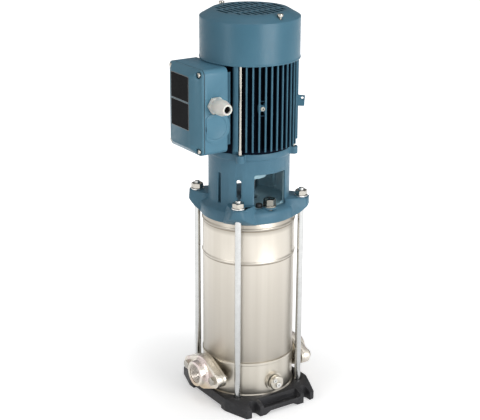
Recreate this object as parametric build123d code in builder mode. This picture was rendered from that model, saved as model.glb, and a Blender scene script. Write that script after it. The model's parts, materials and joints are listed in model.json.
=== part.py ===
from build123d import *
import math
import os

os.makedirs("parts", exist_ok=True)

# Vertical multistage pump with its motor on top, in millimetres.
# The origin is on the floor on the pump axis. +Z is up, the suction port
# faces -X, the delivery port +X, and the drain plug is on the -Y side.

# Foot
foot_length = 160.0
foot_width = 202.0
foot_height = 22.0
corner_run = 46.0
corner_inset = 13.5
corner_setback = 4.0
side_round = 9.0
corner_round = 4.0
foot_wall = 10.0
foot_cavity = 7.0
foot_end_wall = 28.0
arch_height = 5.0
arch_front = 44.0
arch_slope = 9.0
arch_side = 84.0
corner_drop = 10.0
corner_slope_start = 98.0
corner_slope_run = 21.0
anchor_pitch_x = 100.0
anchor_edge = 11.0
anchor_slot = 14.0
pocket_half = 36.0
pocket_depth = 16.0
pocket_rim = 13.0
pocket_floor = 9.0
pocket_wall = 4.0
dish_floor = 14.0
dish_gap = 1.6

# Tie rods, their nuts and washers
rod_circle = 84.0
rod_diameter = 10.0
rod_boss = 11.0
rod_depth = 15.0
rod_tip = 4.0
nut_flats = 17.0
nut_height = 8.0
washer_diameter = 21.0
washer_thickness = 2.0

# Pump casing and jacket
jacket_radius = 73.45
jacket_wall = 1.5
jacket_length = 243.2
bead_height = 1.5
bead_half = 3.2
bead_drops = (71.0, 15.6)
casing_wall = 3.0
casing_height = 59.6
rim_lift = 3.2
rim_flare = 2.2
rim_thickness = 2.2
seam_height = 3.8
seam_proud = 1.2
casing_ring_inner = 58.0
casing_ring_outer = 66.0
spigot_height = 9.2
spigot_wall = 3.2
ring_groove = 4.0
ring_depth = 1.9
fit_gap = 0.15

# Ports and their oval flanges
port_height = 50.5
port_face = 80.0
casing_flange = 4.5
counter_flange = 12.0
flange_centre = 28.0
flange_end = 13.0
port_neck = 24.0
throat = 14.0
hub_length = 12.0
hub_radius = 21.5
hub_taper = 1.0
hub_root = 25.0
hub_root_height = 3.0
thread_radius = 15.6
thread_depth = 18.0
flange_bolt_pitch = 76.0
flange_bolt = 8.0
flange_bolt_hole = 9.0
flange_bolt_flats = 13.0
bolt_head = 5.5
thin_nut = 4.5
bolt_tip = 3.5
gasket_outer = 22.0
gasket_thickness = 1.5

# Inlet riser inside the casing, which carries the stages
riser_outer = 30.0
riser_wall = 4.0
riser_floor = 28.0
duct_radius = 21.5
riser_flange = 4.0
stack_start = 78.0

# Drain plug
drain_height = 41.5
drain_boss = 15.0
drain_boss_out = 4.2
drain_thread = 7.0
drain_washer = 10.5
drain_washer_thickness = 1.6
drain_head = 12.0
drain_head_height = 8.0
needle_radius = 4.1
needle_offset = (1.0, -2.8)
bleed_radius = 3.4
bleed_offset = (-5.4, 6.2)
needle_stand = 2.0

# Stages
stage_count = 6
spacer_height = 26.0
bowl_radius = 62.0
bowl_wall = 2.0
bowl_floor = 2.5
eye_radius = 24.0
eye_gap = 0.5
eye_wall = 1.5
vane_count = 6
vane_height = 6.5
vane_thickness = 2.0
impeller_radius = 52.0
shroud = 2.0
shroud_low = 12.5
passage_room = 23.0
blade_thickness = 2.0
hub_wall = 4.5
spacer_rim = 6.0
spacer_slot = 34.0

# Shafts and seal
pump_shaft = 8.0
motor_shaft = 10.0
shaft_gap = 0.1
socket_length = 22.0
socket_screw_lift = 8.0
socket_screw = 2.0
bush_length = 10.0
bush_radius = 14.0
bush_arm = 5.0
shaft_tail = 2.0
seal_ring = 15.0
seal_ring_height = 11.0
seat_height = 8.0
seat_radius = 19.8
face_gap = 0.3

# Pump head and lantern
head_flange = 6.0
head_plate = 12.0
head_spigot = 14.0
skirt_drop = 12.0
skirt_outer = 77.2
skirt_gap = 0.35
floor_thickness = 10.0
barrel_radius = 64.3
barrel_wall = 6.1
barrel_rim = 2.0
rim_height = 9.5
lantern_height = 98.0
top_plate = 8.0
motor_recess = 11.0
bearing_hub = 28.0
ear_top = 17.0
ear_radius = 12.2
ear_root = 21.0
ear_draft = 14.0
window_half = 28.5
window_room = 44.0
window_corner = 3.0
slit_width = 5.6
slit_offset = 11.5
slit_lift = 4.0
slit_room = 49.0
eyelet_width = 8.2
eyelet_lift = 14.0
eyelet_room = 66.0
eyelet_angle = -48.5
window_reach = 45.0
lug_circle = 70.5
lug_radius = 6.5
lug_height = 12.0
lug_taper = 4.0
lug_floor = 2.0

# Fill plug and vent cap on the lantern floor
fill_place = (-5.0, -65.0)
fill_boss = 11.0
fill_boss_height = 2.5
fill_flats = 17.0
fill_height = 10.0
fill_collar = 10.5
fill_collar_height = 3.0
fill_thread = 6.4
fill_thread_depth = 8.0
vent_place = (-17.0, -53.5)
vent_radius = 5.2
vent_height = 6.0
vent_stem = 2.4
vent_stem_depth = 5.0

# Bearings
bearing_outer = 23.5
bearing_width = 14.0
race = 3.9
ball_radius = 2.5
ball_count = 7
bearing_lip = 12.0
bearing_drop = 29.0
hub_shoulder = 13.0

# Motor frame
frame_height = 140.0
frame_root = 66.0
frame_bore = 60.0
fin_tip = 76.0
fin_root_thickness = 4.2
fin_tip_thickness = 2.6
fin_pitch = 7.5
fin_start = 6.0
fin_end = 2.0
box_zone = 47.0
rib_offset = 39.5
rib_width = 7.0
rib_tip = 73.0
tie_bolt = 5.0
tie_head_flats = 10.0
tie_head = 4.0
pad_face = 71.0
pad_width = 76.0
pad_height = 112.0
earth_angle = -18.75
earth_height = 74.0
earth_size = (7.0, 9.0)
earth_rung = 1.8
earth_rung_place = 11.3
earth_out = 73.5
earth_screw_radius = 3.4
earth_head = 2.6
earth_socket = 3.0
earth_socket_depth = 1.6
lifting_angle = 52.5
lifting_height = 71.0
lifting_out = 86.0
lifting_size = 18.0
lifting_thickness = 5.0
lifting_hole = 2.2
lifting_hole_place = (81.8, 3.6)
lifting_slant = 2.0

# Stator, rotor and windings
air_gap = 0.5
rotor_radius = 26.0
core_length = 70.0
core_lift = 26.0
rotor_bore = 12.0
winding_inner = 32.0
winding_outer = 52.0
winding_length = 16.0
journal_lift = 22.0

# Fan-side shield, fan and fan cover
shield_thickness = 7.0
shield_radius = 74.5
shield_spigot = 6.0
shield_hub = 28.5
spring_thickness = 2.0
fan_hub = 14.0
fan_hub_height = 28.0
fan_lift = 10.0
fan_radius = 60.0
fan_disc = 42.0
fan_plate = 2.5
fan_blade = 22.0
fan_blade_thickness = 2.0
fan_blades = 7
cover_radius = 77.5
cover_wall = 1.2
cover_height = 63.5
cover_drop = 1.5
cover_rise = 10.0
cover_top_radius = 60.0
cover_lip = 0.8
grille_radius = 55.0
grille_pitch = 10.0
grille_slot = 5.6
grille_bar = 4.0
grille_bar_place = 18.0
cover_screw_angle = 6.0
cover_screw_circle = 69.0
cover_screw = 2.5
cover_screw_head = 4.6
cover_screw_head_height = 4.0

# Terminal box
box_back = 71.0
box_depth = 40.0
box_width = 94.0
box_height = 131.0
box_lift = 7.0
box_corner = 8.0
box_wall = 3.0
lid_gasket = 1.0
lid_rim = 3.0
lid_rise = 11.0
panel_width = 56.0
panel_height = 110.0
lid_skin = 3.0
lid_screw_inset = 7.2
lid_pocket = 5.2
lid_screw = 2.0
lid_screw_head = 3.6
lid_screw_head_height = 3.0
knockout_at = (-91.5, 42.0)
knockout_boss = 24.3
knockout_recess = 17.8
knockout_proud = 1.5
knockout_depth = 8.0
lid_edge = 1.5
gland_at = (-93.0, 77.0)
gland_flats = 24.0
gland_flange = 6.0
gland_nut_radius = 12.0
gland_nut_length = 15.0
gland_dome = 13.0
gland_mouth = 8.0
gland_bore = 5.5
gland_thread = 10.0
board_size = (10.0, 50.0, 40.0)
stud_radius = 2.5

# Heights and radii that follow from the sizes above
casing_rim = dish_floor + rim_lift
seam = casing_rim + casing_height
jacket_top = seam + jacket_length
jacket_bore = jacket_radius - jacket_wall
head_top = jacket_top + head_flange
window_height = lantern_height - window_room
slit_height = lantern_height - slit_room
eyelet_height = lantern_height - eyelet_room
floor_top = head_top + floor_thickness
lantern_top = head_top + lantern_height
nut_seat = head_top + ear_top
rim_radius = jacket_radius + rim_flare
rod_offset = rod_circle * math.cos(math.radians(45))
rod_places = [(x * rod_offset, y * rod_offset) for x in (-1, 1) for y in (-1, 1)]
rod_bottom = foot_height - rod_depth
rod_top = nut_seat + washer_thickness + nut_height + rod_tip
frame_bottom = lantern_top
frame_top = frame_bottom + frame_height
barrel_bore = barrel_radius - barrel_wall
plate_bottom = lantern_top - motor_recess - top_plate
spigot_radius = jacket_bore - fit_gap
stack_top = head_top - head_plate - spacer_height
stage_pitch = (stack_top - stack_start) / stage_count
passage = stage_pitch - passage_room
core_bottom = frame_bottom + core_lift
core_top = core_bottom + core_length
drive_bearing = lantern_top - motor_recess - bearing_drop
hub_bottom = drive_bearing - bearing_lip
fan_bearing = frame_top - bearing_width
shield_top = frame_top + shield_thickness
cover_bottom = frame_top - cover_drop
cover_shoulder = cover_bottom + cover_height
cover_top = cover_shoulder + cover_rise
box_front = box_back + box_depth
box_bottom = frame_bottom + box_lift
box_middle = box_bottom + box_height / 2
knockout_place = (knockout_at[0], box_bottom + knockout_at[1])
gland_place = (gland_at[0], box_bottom + gland_at[1])
lid_back = box_front + lid_gasket
lid_shoulder = lid_back + lid_rim
lid_front = lid_shoulder + lid_rise
bolt_offset = flange_bolt_pitch / 2
hub_face = port_face + counter_flange + hub_length
drain_face = jacket_radius + drain_boss_out
seat_bottom = head_top - seat_height


def save(builder, name):
    """Label a finished piece and write it to its own file."""
    builder.part.label = name
    export_step(builder.part, f"parts/{name}.step")


def compass(radius, azimuth):
    """Point at an azimuth counted from -Y towards +X."""
    angle = math.radians(azimuth)
    return (radius * math.sin(angle), -radius * math.cos(angle))


def port_plane(side, distance):
    """Plane across the port axis, facing outwards on one side."""
    return Plane(origin=(side * distance, 0, port_height), x_dir=(0, 1, 0), z_dir=(side, 0, 0))


def drain_plane(distance):
    """Plane across the drain axis, facing -Y."""
    return Plane(origin=(0, -distance, drain_height), x_dir=(1, 0, 0), z_dir=(0, -1, 0))


def box_plane(distance):
    """Plane across the terminal box, facing -X."""
    return Plane(origin=(-distance, 0, box_middle), x_dir=(0, -1, 0), z_dir=(-1, 0, 0))


def side_plane(place, distance):
    """Plane on the -Y side of the terminal box at (x, z), facing -Y."""
    return Plane(origin=(place[0], -distance, place[1]), x_dir=(1, 0, 0), z_dir=(0, -1, 0))


# Foot casting: a low plate with open anchor slots and a dish for the casing
anchor_pitch_y = foot_width - 2 * anchor_edge
anchors = [(x * anchor_pitch_x / 2, y * anchor_pitch_y / 2) for x in (-1, 1) for y in (-1, 1)]
mouth = anchor_edge + 1
foot_side = foot_length / 2
foot_end = foot_width / 2
end_half = (anchor_pitch_x - anchor_slot) / 2
outline = [
    (foot_side, foot_end - corner_run),
    (foot_side - corner_inset, foot_end - corner_setback),
    (end_half, foot_end),
]
outline += [(-x, y) for x, y in reversed(outline)]
outline += [(-x, -y) for x, y in outline]
with BuildPart() as foot_casting:
    with BuildSketch():
        Polygon(*outline, align=None)
        side_corners = [v for v in vertices() if abs(v.X) > foot_side - 1]
        fillet(side_corners, side_round)
        outer_corners = [
            v for v in vertices() if abs(v.Y) > foot_end - corner_setback - 1 and abs(v.X) > end_half + 5
        ]
        fillet(outer_corners, corner_round)
    extrude(amount=foot_height)
    with BuildSketch(Plane.XZ):
        Polygon(
            (0, 0),
            (corner_slope_start + corner_slope_run, 0),
            (corner_slope_start + corner_slope_run, foot_height - corner_drop),
            (corner_slope_start, foot_height),
            (0, foot_height),
            align=None,
        )
    revolve(axis=Axis.Z, mode=Mode.INTERSECT)
    with BuildSketch(Plane.XY.offset(dish_floor)):
        Circle(rim_radius + dish_gap)
    extrude(amount=foot_height - dish_floor, mode=Mode.SUBTRACT)
    with BuildSketch():
        RectangleRounded(foot_length - 2 * foot_wall, foot_width - 2 * foot_end_wall, rod_boss)
        with Locations(*rod_places):
            Circle(rod_boss, mode=Mode.SUBTRACT)
    extrude(amount=foot_cavity, mode=Mode.SUBTRACT)
    with BuildSketch():
        Rectangle(foot_length, arch_side)
    extrude(amount=arch_height, mode=Mode.SUBTRACT)
    with BuildSketch(Plane.XZ):
        Polygon(
            (-arch_front / 2 - arch_slope, 0),
            (arch_front / 2 + arch_slope, 0),
            (arch_front / 2, arch_height),
            (-arch_front / 2, arch_height),
            align=None,
        )
    extrude(amount=foot_width / 2, both=True, mode=Mode.SUBTRACT)
    with BuildSketch():
        with Locations(*anchors):
            Circle(anchor_slot / 2)
        with Locations(*[(x, math.copysign(abs(y) + mouth / 2, y)) for x, y in anchors]):
            Rectangle(anchor_slot, mouth)
    extrude(amount=foot_height, mode=Mode.SUBTRACT)
    pocket_start = foot_width / 2 - pocket_depth
    with BuildSketch(Plane.XY.offset(pocket_rim)):
        with Locations((0, pocket_start + pocket_depth / 2), (0, -pocket_start - pocket_depth / 2)):
            Rectangle(2 * pocket_half, pocket_depth)
    extrude(amount=foot_height - pocket_rim, mode=Mode.SUBTRACT)
    pocket_inner = pocket_depth - pocket_wall
    with BuildSketch(Plane.XY.offset(pocket_floor)):
        with Locations((0, pocket_start + pocket_inner / 2), (0, -pocket_start - pocket_inner / 2)):
            RectangleRounded(2 * pocket_half - pocket_wall, pocket_inner, pocket_wall)
    extrude(amount=pocket_rim - pocket_floor, mode=Mode.SUBTRACT)
    with Locations(*[(x, y, foot_height) for x, y in rod_places]):
        Hole(rod_diameter / 2 + fit_gap, depth=rod_depth)
save(foot_casting, "foot_casting")

# Pump casing: pressed shell with both ports, the inlet riser and the drain boss
with BuildPart() as pump_casing:
    with BuildSketch(Plane.XZ):
        floor_level = casing_rim + 1.8
        groove = seam + (spigot_height - ring_groove) / 2
        inner = jacket_radius - casing_wall
        Polygon(
            (0, floor_level),
            (casing_ring_inner, floor_level),
            (casing_ring_inner, dish_floor),
            (casing_ring_outer, dish_floor),
            (casing_ring_outer, casing_rim),
            (rim_radius, casing_rim),
            (rim_radius, casing_rim + rim_thickness),
            (jacket_radius, casing_rim + rim_thickness + rim_flare),
            (jacket_radius, seam - seam_height - seam_proud),
            (jacket_radius + seam_proud, seam - seam_height),
            (jacket_radius + seam_proud, seam),
            (spigot_radius, seam),
            (spigot_radius, groove),
            (spigot_radius - ring_depth, groove),
            (spigot_radius - ring_depth, groove + ring_groove),
            (spigot_radius, groove + ring_groove),
            (spigot_radius, seam + spigot_height),
            (spigot_radius - spigot_wall, seam + spigot_height),
            (spigot_radius - spigot_wall, seam - seam_height - casing_wall),
            (inner, seam - seam_height - 2 * casing_wall),
            (inner, floor_level + casing_wall),
            (0, floor_level + casing_wall),
            align=None,
        )
    revolve(axis=Axis.Z)
    for side in (-1, 1):
        with BuildSketch(port_plane(side, port_face)):
            Circle(flange_centre)
            with Locations((bolt_offset, 0), (-bolt_offset, 0)):
                Circle(flange_end)
            make_hull()
            with Locations((bolt_offset, 0), (-bolt_offset, 0)):
                Circle(flange_bolt_hole / 2, mode=Mode.SUBTRACT)
        extrude(amount=-casing_flange)
        with BuildSketch(port_plane(side, inner)):
            Circle(port_neck)
        extrude(amount=port_face - casing_flange - inner)
    with BuildSketch(Plane.XY.offset(floor_level)):
        Circle(riser_outer)
    extrude(amount=stack_start - floor_level)
    with BuildSketch(Plane.XY.offset(stack_start - riser_flange)):
        Circle(bowl_radius)
    extrude(amount=riser_flange)
    with BuildSketch(port_plane(-1, 0)):
        Circle(duct_radius)
    extrude(amount=inner)
    with BuildSketch(drain_plane(inner)):
        Circle(drain_boss)
    extrude(amount=drain_face - inner)
    with BuildSketch(Plane.XY.offset(riser_floor)):
        Circle(riser_outer - riser_wall)
    extrude(amount=stack_start - riser_floor, mode=Mode.SUBTRACT)
    with BuildSketch(port_plane(-1, 0)):
        Circle(throat)
    extrude(amount=port_face, mode=Mode.SUBTRACT)
    with BuildSketch(port_plane(1, riser_outer + riser_wall)):
        Circle(throat)
    extrude(amount=port_face - riser_outer - riser_wall, mode=Mode.SUBTRACT)
    with BuildSketch(drain_plane(inner - casing_wall)):
        Circle(drain_thread + fit_gap)
    extrude(amount=drain_face - inner + casing_wall, mode=Mode.SUBTRACT)
save(pump_casing, "pump_casing")

# Outer jacket: thin tube with two rolled beads
with BuildPart() as outer_jacket:
    with BuildSketch(Plane.XZ):
        outside = [(jacket_radius, seam)]
        inside = [(jacket_bore, seam)]
        crest = bead_half / 3
        steps = ((-bead_half, 0), (-crest, bead_height), (crest, bead_height), (bead_half, 0))
        for drop in bead_drops:
            bead = jacket_top - drop
            outside += [(jacket_radius + out, bead + up) for up, out in steps]
            inside += [(jacket_bore + out, bead + up) for up, out in steps]
        outside.append((jacket_radius, jacket_top))
        inside.append((jacket_bore, jacket_top))
        Polygon(*outside, *reversed(inside), align=None)
    revolve(axis=Axis.Z)
save(outer_jacket, "outer_jacket")

# Sealing rings at both ends of the jacket
low_groove = seam + spigot_height / 2
high_groove = jacket_top - head_spigot / 2
with BuildPart() as jacket_rings:
    for height in (low_groove, high_groove):
        with BuildSketch(Plane.XZ):
            with Locations((jacket_bore - fit_gap - ring_depth / 2, height)):
                RectangleRounded(ring_depth - fit_gap, ring_groove - 2 * fit_gap, ring_depth / 3)
        revolve(axis=Axis.Z)
save(jacket_rings, "jacket_rings")

# Oval counter flanges with threaded hubs
for side, name in ((-1, "suction_flange"), (1, "delivery_flange")):
    with BuildPart() as flange:
        with BuildSketch(port_plane(side, port_face)):
            Circle(flange_centre)
            with Locations((bolt_offset, 0), (-bolt_offset, 0)):
                Circle(flange_end)
            make_hull()
        extrude(amount=counter_flange)
        chamfer(flange.faces().sort_by(Axis.X)[-1 if side > 0 else 0].edges(), 1.0)
        with BuildSketch(port_plane(side, port_face + counter_flange)):
            Circle(hub_radius)
        extrude(amount=hub_length, taper=math.degrees(math.atan(hub_taper / hub_length)))
        with BuildSketch(port_plane(side, port_face + counter_flange)):
            Circle(hub_root)
        root_taper = math.degrees(math.atan((hub_root - hub_radius) / hub_root_height))
        extrude(amount=hub_root_height, taper=root_taper)
        with BuildSketch(port_plane(side, port_face)):
            Circle(throat)
            with Locations((bolt_offset, 0), (-bolt_offset, 0)):
                Circle(flange_bolt_hole / 2)
        extrude(amount=counter_flange + hub_length, mode=Mode.SUBTRACT)
        with BuildSketch(port_plane(side, hub_face)):
            Circle(thread_radius)
        extrude(amount=-thread_depth, mode=Mode.SUBTRACT)
        with BuildSketch(port_plane(side, port_face)):
            Circle(gasket_outer + fit_gap)
        extrude(amount=gasket_thickness, mode=Mode.SUBTRACT)
    save(flange, name)

# Flat gaskets between casing and counter flanges
with BuildPart() as flange_gaskets:
    for side in (-1, 1):
        with BuildSketch(port_plane(side, port_face)):
            Circle(gasket_outer)
            Circle(throat, mode=Mode.SUBTRACT)
        extrude(amount=gasket_thickness)
save(flange_gaskets, "flange_gaskets")

# Hexagon bolts and thin nuts of the oval flanges
flange_bolt_places = [(bolt_offset, 0), (-bolt_offset, 0)]
bolt_end = port_face - casing_flange - thin_nut - bolt_tip
with BuildPart() as flange_bolts:
    for side in (-1, 1):
        with BuildSketch(port_plane(side, port_face + counter_flange)):
            with Locations(*flange_bolt_places):
                RegularPolygon(flange_bolt_flats / 2, 6, major_radius=False)
        extrude(amount=bolt_head)
        with BuildSketch(port_plane(side, bolt_end)):
            with Locations(*flange_bolt_places):
                Circle(flange_bolt / 2)
        extrude(amount=port_face + counter_flange - bolt_end)
save(flange_bolts, "flange_bolts")

with BuildPart() as flange_nuts:
    for side in (-1, 1):
        with BuildSketch(port_plane(side, port_face - casing_flange)):
            with Locations(*flange_bolt_places):
                RegularPolygon(flange_bolt_flats / 2, 6, major_radius=False)
                Circle(flange_bolt / 2 + fit_gap, mode=Mode.SUBTRACT)
        extrude(amount=-thin_nut)
save(flange_nuts, "flange_nuts")

# Drain plug with its washer, needle screw and bleed screw
with BuildPart() as drain_washer_piece:
    with BuildSketch(drain_plane(drain_face)):
        Circle(drain_washer)
        Circle(drain_thread + fit_gap, mode=Mode.SUBTRACT)
    extrude(amount=drain_washer_thickness)
save(drain_washer_piece, "drain_washer")

drain_head_back = drain_face + drain_washer_thickness
with BuildPart() as drain_plug:
    with BuildSketch(drain_plane(jacket_radius - 2 * casing_wall)):
        Circle(drain_thread)
    extrude(amount=drain_head_back - jacket_radius + 2 * casing_wall)
    with BuildSketch(drain_plane(drain_head_back)):
        Circle(drain_head)
    extrude(amount=drain_head_height)
    chamfer(drain_plug.faces().sort_by(Axis.Y)[0].edges(), 1.2)
    with BuildSketch(drain_plane(drain_head_back + drain_head_height)):
        with Locations(needle_offset):
            Circle(needle_radius + fit_gap)
        with Locations(bleed_offset):
            Circle(bleed_radius + fit_gap)
    extrude(amount=-drain_head_height / 2, mode=Mode.SUBTRACT)
save(drain_plug, "drain_plug")

with BuildPart() as drain_screws:
    with BuildSketch(drain_plane(drain_head_back + drain_head_height / 2)):
        with Locations(needle_offset):
            Circle(needle_radius)
        with Locations(bleed_offset):
            Circle(bleed_radius)
    extrude(amount=drain_head_height / 2 + needle_stand)
    with BuildSketch(drain_plane(drain_head_back + drain_head_height + needle_stand)):
        with Locations(needle_offset, bleed_offset):
            RegularPolygon(bleed_radius / 2, 6)
    extrude(amount=-needle_stand, mode=Mode.SUBTRACT)
save(drain_screws, "drain_screws")

# Tie rods with washers and nuts on the lantern ears
with BuildPart() as tie_rods:
    with BuildSketch(Plane.XY.offset(rod_bottom)):
        with Locations(*rod_places):
            Circle(rod_diameter / 2)
    extrude(amount=rod_top - rod_bottom)
    chamfer(tie_rods.faces().sort_by(Axis.Z)[-4:].edges(), rod_diameter / 7)
save(tie_rods, "tie_rods")

with BuildPart() as rod_washers:
    with BuildSketch(Plane.XY.offset(nut_seat)):
        with Locations(*rod_places):
            Circle(washer_diameter / 2)
            Circle(rod_diameter / 2 + fit_gap, mode=Mode.SUBTRACT)
    extrude(amount=washer_thickness)
save(rod_washers, "rod_washers")

with BuildPart() as rod_nuts:
    with BuildSketch(Plane.XY.offset(nut_seat + washer_thickness)):
        with Locations(*rod_places):
            RegularPolygon(nut_flats / 2, 6, major_radius=False, rotation=15)
            Circle(rod_diameter / 2 + fit_gap, mode=Mode.SUBTRACT)
    extrude(amount=nut_height)
save(rod_nuts, "rod_nuts")

# Stage bowls: each cup carries the return vanes of its stage
for stage in range(stage_count):
    base = stack_start + stage * stage_pitch
    with BuildPart() as bowl:
        with BuildSketch(Plane.XZ):
            Polygon(
                (eye_radius, base),
                (bowl_radius, base),
                (bowl_radius, base + stage_pitch),
                (bowl_radius - bowl_wall, base + stage_pitch),
                (bowl_radius - bowl_wall, base + bowl_floor),
                (eye_radius, base + bowl_floor),
                align=None,
            )
        revolve(axis=Axis.Z)
        with BuildSketch(Plane.XY.offset(base + bowl_floor)):
            vane_length = bowl_radius - bowl_wall / 2 - eye_radius - eye_wall
            with PolarLocations(eye_radius + eye_wall + vane_length / 2, vane_count):
                Rectangle(vane_length, vane_thickness)
        extrude(amount=vane_height)
    save(bowl, f"stage_bowl_{stage + 1}")

# Impellers: two shrouds with curved blades between them
for stage in range(stage_count):
    base = stack_start + stage * stage_pitch
    low = base + shroud_low
    hub_base = base + bowl_floor
    hub_bore = pump_shaft + shaft_gap
    skirt_radius = eye_radius - eye_gap
    with BuildPart() as impeller:
        with BuildSketch(Plane.XZ):
            Polygon(
                (hub_bore, hub_base),
                (hub_bore + hub_wall, hub_base),
                (hub_bore + hub_wall, low + shroud + passage),
                (impeller_radius, low + shroud + passage),
                (impeller_radius, low + 2 * shroud + passage),
                (hub_bore + hub_wall, low + 2 * shroud + passage),
                (hub_bore + hub_wall, hub_base + stage_pitch),
                (hub_bore, hub_base + stage_pitch),
                align=None,
            )
            Polygon(
                (skirt_radius - eye_wall, base + eye_gap),
                (skirt_radius, base + eye_gap),
                (skirt_radius, low),
                (impeller_radius, low),
                (impeller_radius, low + shroud),
                (skirt_radius - eye_wall, low + shroud),
                align=None,
            )
        revolve(axis=Axis.Z)
        with BuildSketch(Plane.XY.offset(low + shroud)):
            with PolarLocations(0, vane_count):
                with BuildLine():
                    inner_end = (skirt_radius, 0)
                    outer_end = (
                        impeller_radius * math.cos(math.radians(50)) - 1,
                        impeller_radius * math.sin(math.radians(50)) - 1,
                    )
                    RadiusArc(inner_end, outer_end, impeller_radius)
                trace(line_width=blade_thickness)
        extrude(amount=passage)
    save(impeller, f"impeller_{stage + 1}")

# Slotted spacer that holds the stages down against the pump head
with BuildPart() as stack_spacer:
    with BuildSketch(Plane.XY.offset(stack_top)):
        Circle(bowl_radius)
        Circle(bowl_radius - 2 * bowl_wall, mode=Mode.SUBTRACT)
    extrude(amount=head_top - head_plate - stack_top)
    with BuildSketch(Plane.XY.offset(stack_top + spacer_rim)):
        with PolarLocations(bowl_radius - bowl_wall, vane_count):
            Rectangle(4 * bowl_wall, spacer_slot)
    extrude(amount=head_top - head_plate - stack_top - 2 * spacer_rim, mode=Mode.SUBTRACT)
save(stack_spacer, "stack_spacer")

# Lower sleeve bearing on three arms in the riser
bush_base = stack_start - riser_flange - bush_length
with BuildPart() as sleeve_bearing:
    with BuildSketch(Plane.XY.offset(bush_base)):
        Circle(bush_radius)
        arm_length = riser_outer - riser_wall - fit_gap - bush_radius / 2
        with PolarLocations(bush_radius / 2 + arm_length / 2, 3):
            Rectangle(arm_length, bush_arm)
        Circle(pump_shaft + shaft_gap, mode=Mode.SUBTRACT)
    extrude(amount=bush_length)
save(sleeve_bearing, "sleeve_bearing")

# Pump shaft
shaft_bottom = bush_base - shaft_tail
shaft_socket = hub_bottom - socket_length
with BuildPart() as pump_shaft_piece:
    with BuildSketch(Plane.XY.offset(shaft_bottom)):
        Circle(pump_shaft)
    extrude(amount=hub_bottom - shaft_bottom)
    chamfer(pump_shaft_piece.faces().sort_by(Axis.Z)[0].edges(), 1.0)
save(pump_shaft_piece, "pump_shaft")

# Spacer sleeve, rotating seal ring and fixed seal seat
spacer_base = stack_top + bowl_floor
ring_base = seat_bottom - face_gap - seal_ring_height
with BuildPart() as spacer_sleeve:
    with BuildSketch(Plane.XY.offset(spacer_base)):
        Circle(pump_shaft + shaft_gap + hub_wall)
        Circle(pump_shaft + shaft_gap, mode=Mode.SUBTRACT)
    extrude(amount=ring_base - spacer_base)
save(spacer_sleeve, "spacer_sleeve")

with BuildPart() as seal_ring_piece:
    with BuildSketch(Plane.XY.offset(ring_base)):
        Circle(seal_ring)
        Circle(pump_shaft + shaft_gap, mode=Mode.SUBTRACT)
    extrude(amount=seal_ring_height)
save(seal_ring_piece, "seal_ring")

with BuildPart() as seal_seat:
    with BuildSketch(Plane.XY.offset(seat_bottom)):
        Circle(seat_radius)
        Circle(motor_shaft, mode=Mode.SUBTRACT)
    extrude(amount=seat_height)
save(seal_seat, "seal_seat")

# Pump head: closes the jacket and holds the seal
with BuildPart() as pump_head:
    with BuildSketch(Plane.XZ):
        seat_bore = seat_radius + fit_gap
        Polygon(
            (seat_bore, head_top),
            (jacket_radius, head_top),
            (jacket_radius, jacket_top),
            (spigot_radius, jacket_top),
            (spigot_radius, high_groove + ring_groove / 2),
            (spigot_radius - ring_depth, high_groove + ring_groove / 2),
            (spigot_radius - ring_depth, high_groove - ring_groove / 2),
            (spigot_radius, high_groove - ring_groove / 2),
            (spigot_radius, jacket_top - head_spigot),
            (spigot_radius - 2 * spigot_wall, jacket_top - head_spigot),
            (spigot_radius - 2 * spigot_wall, head_top - head_plate),
            (seat_bore, head_top - head_plate),
            align=None,
        )
    revolve(axis=Axis.Z)
save(pump_head, "pump_head")

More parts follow.
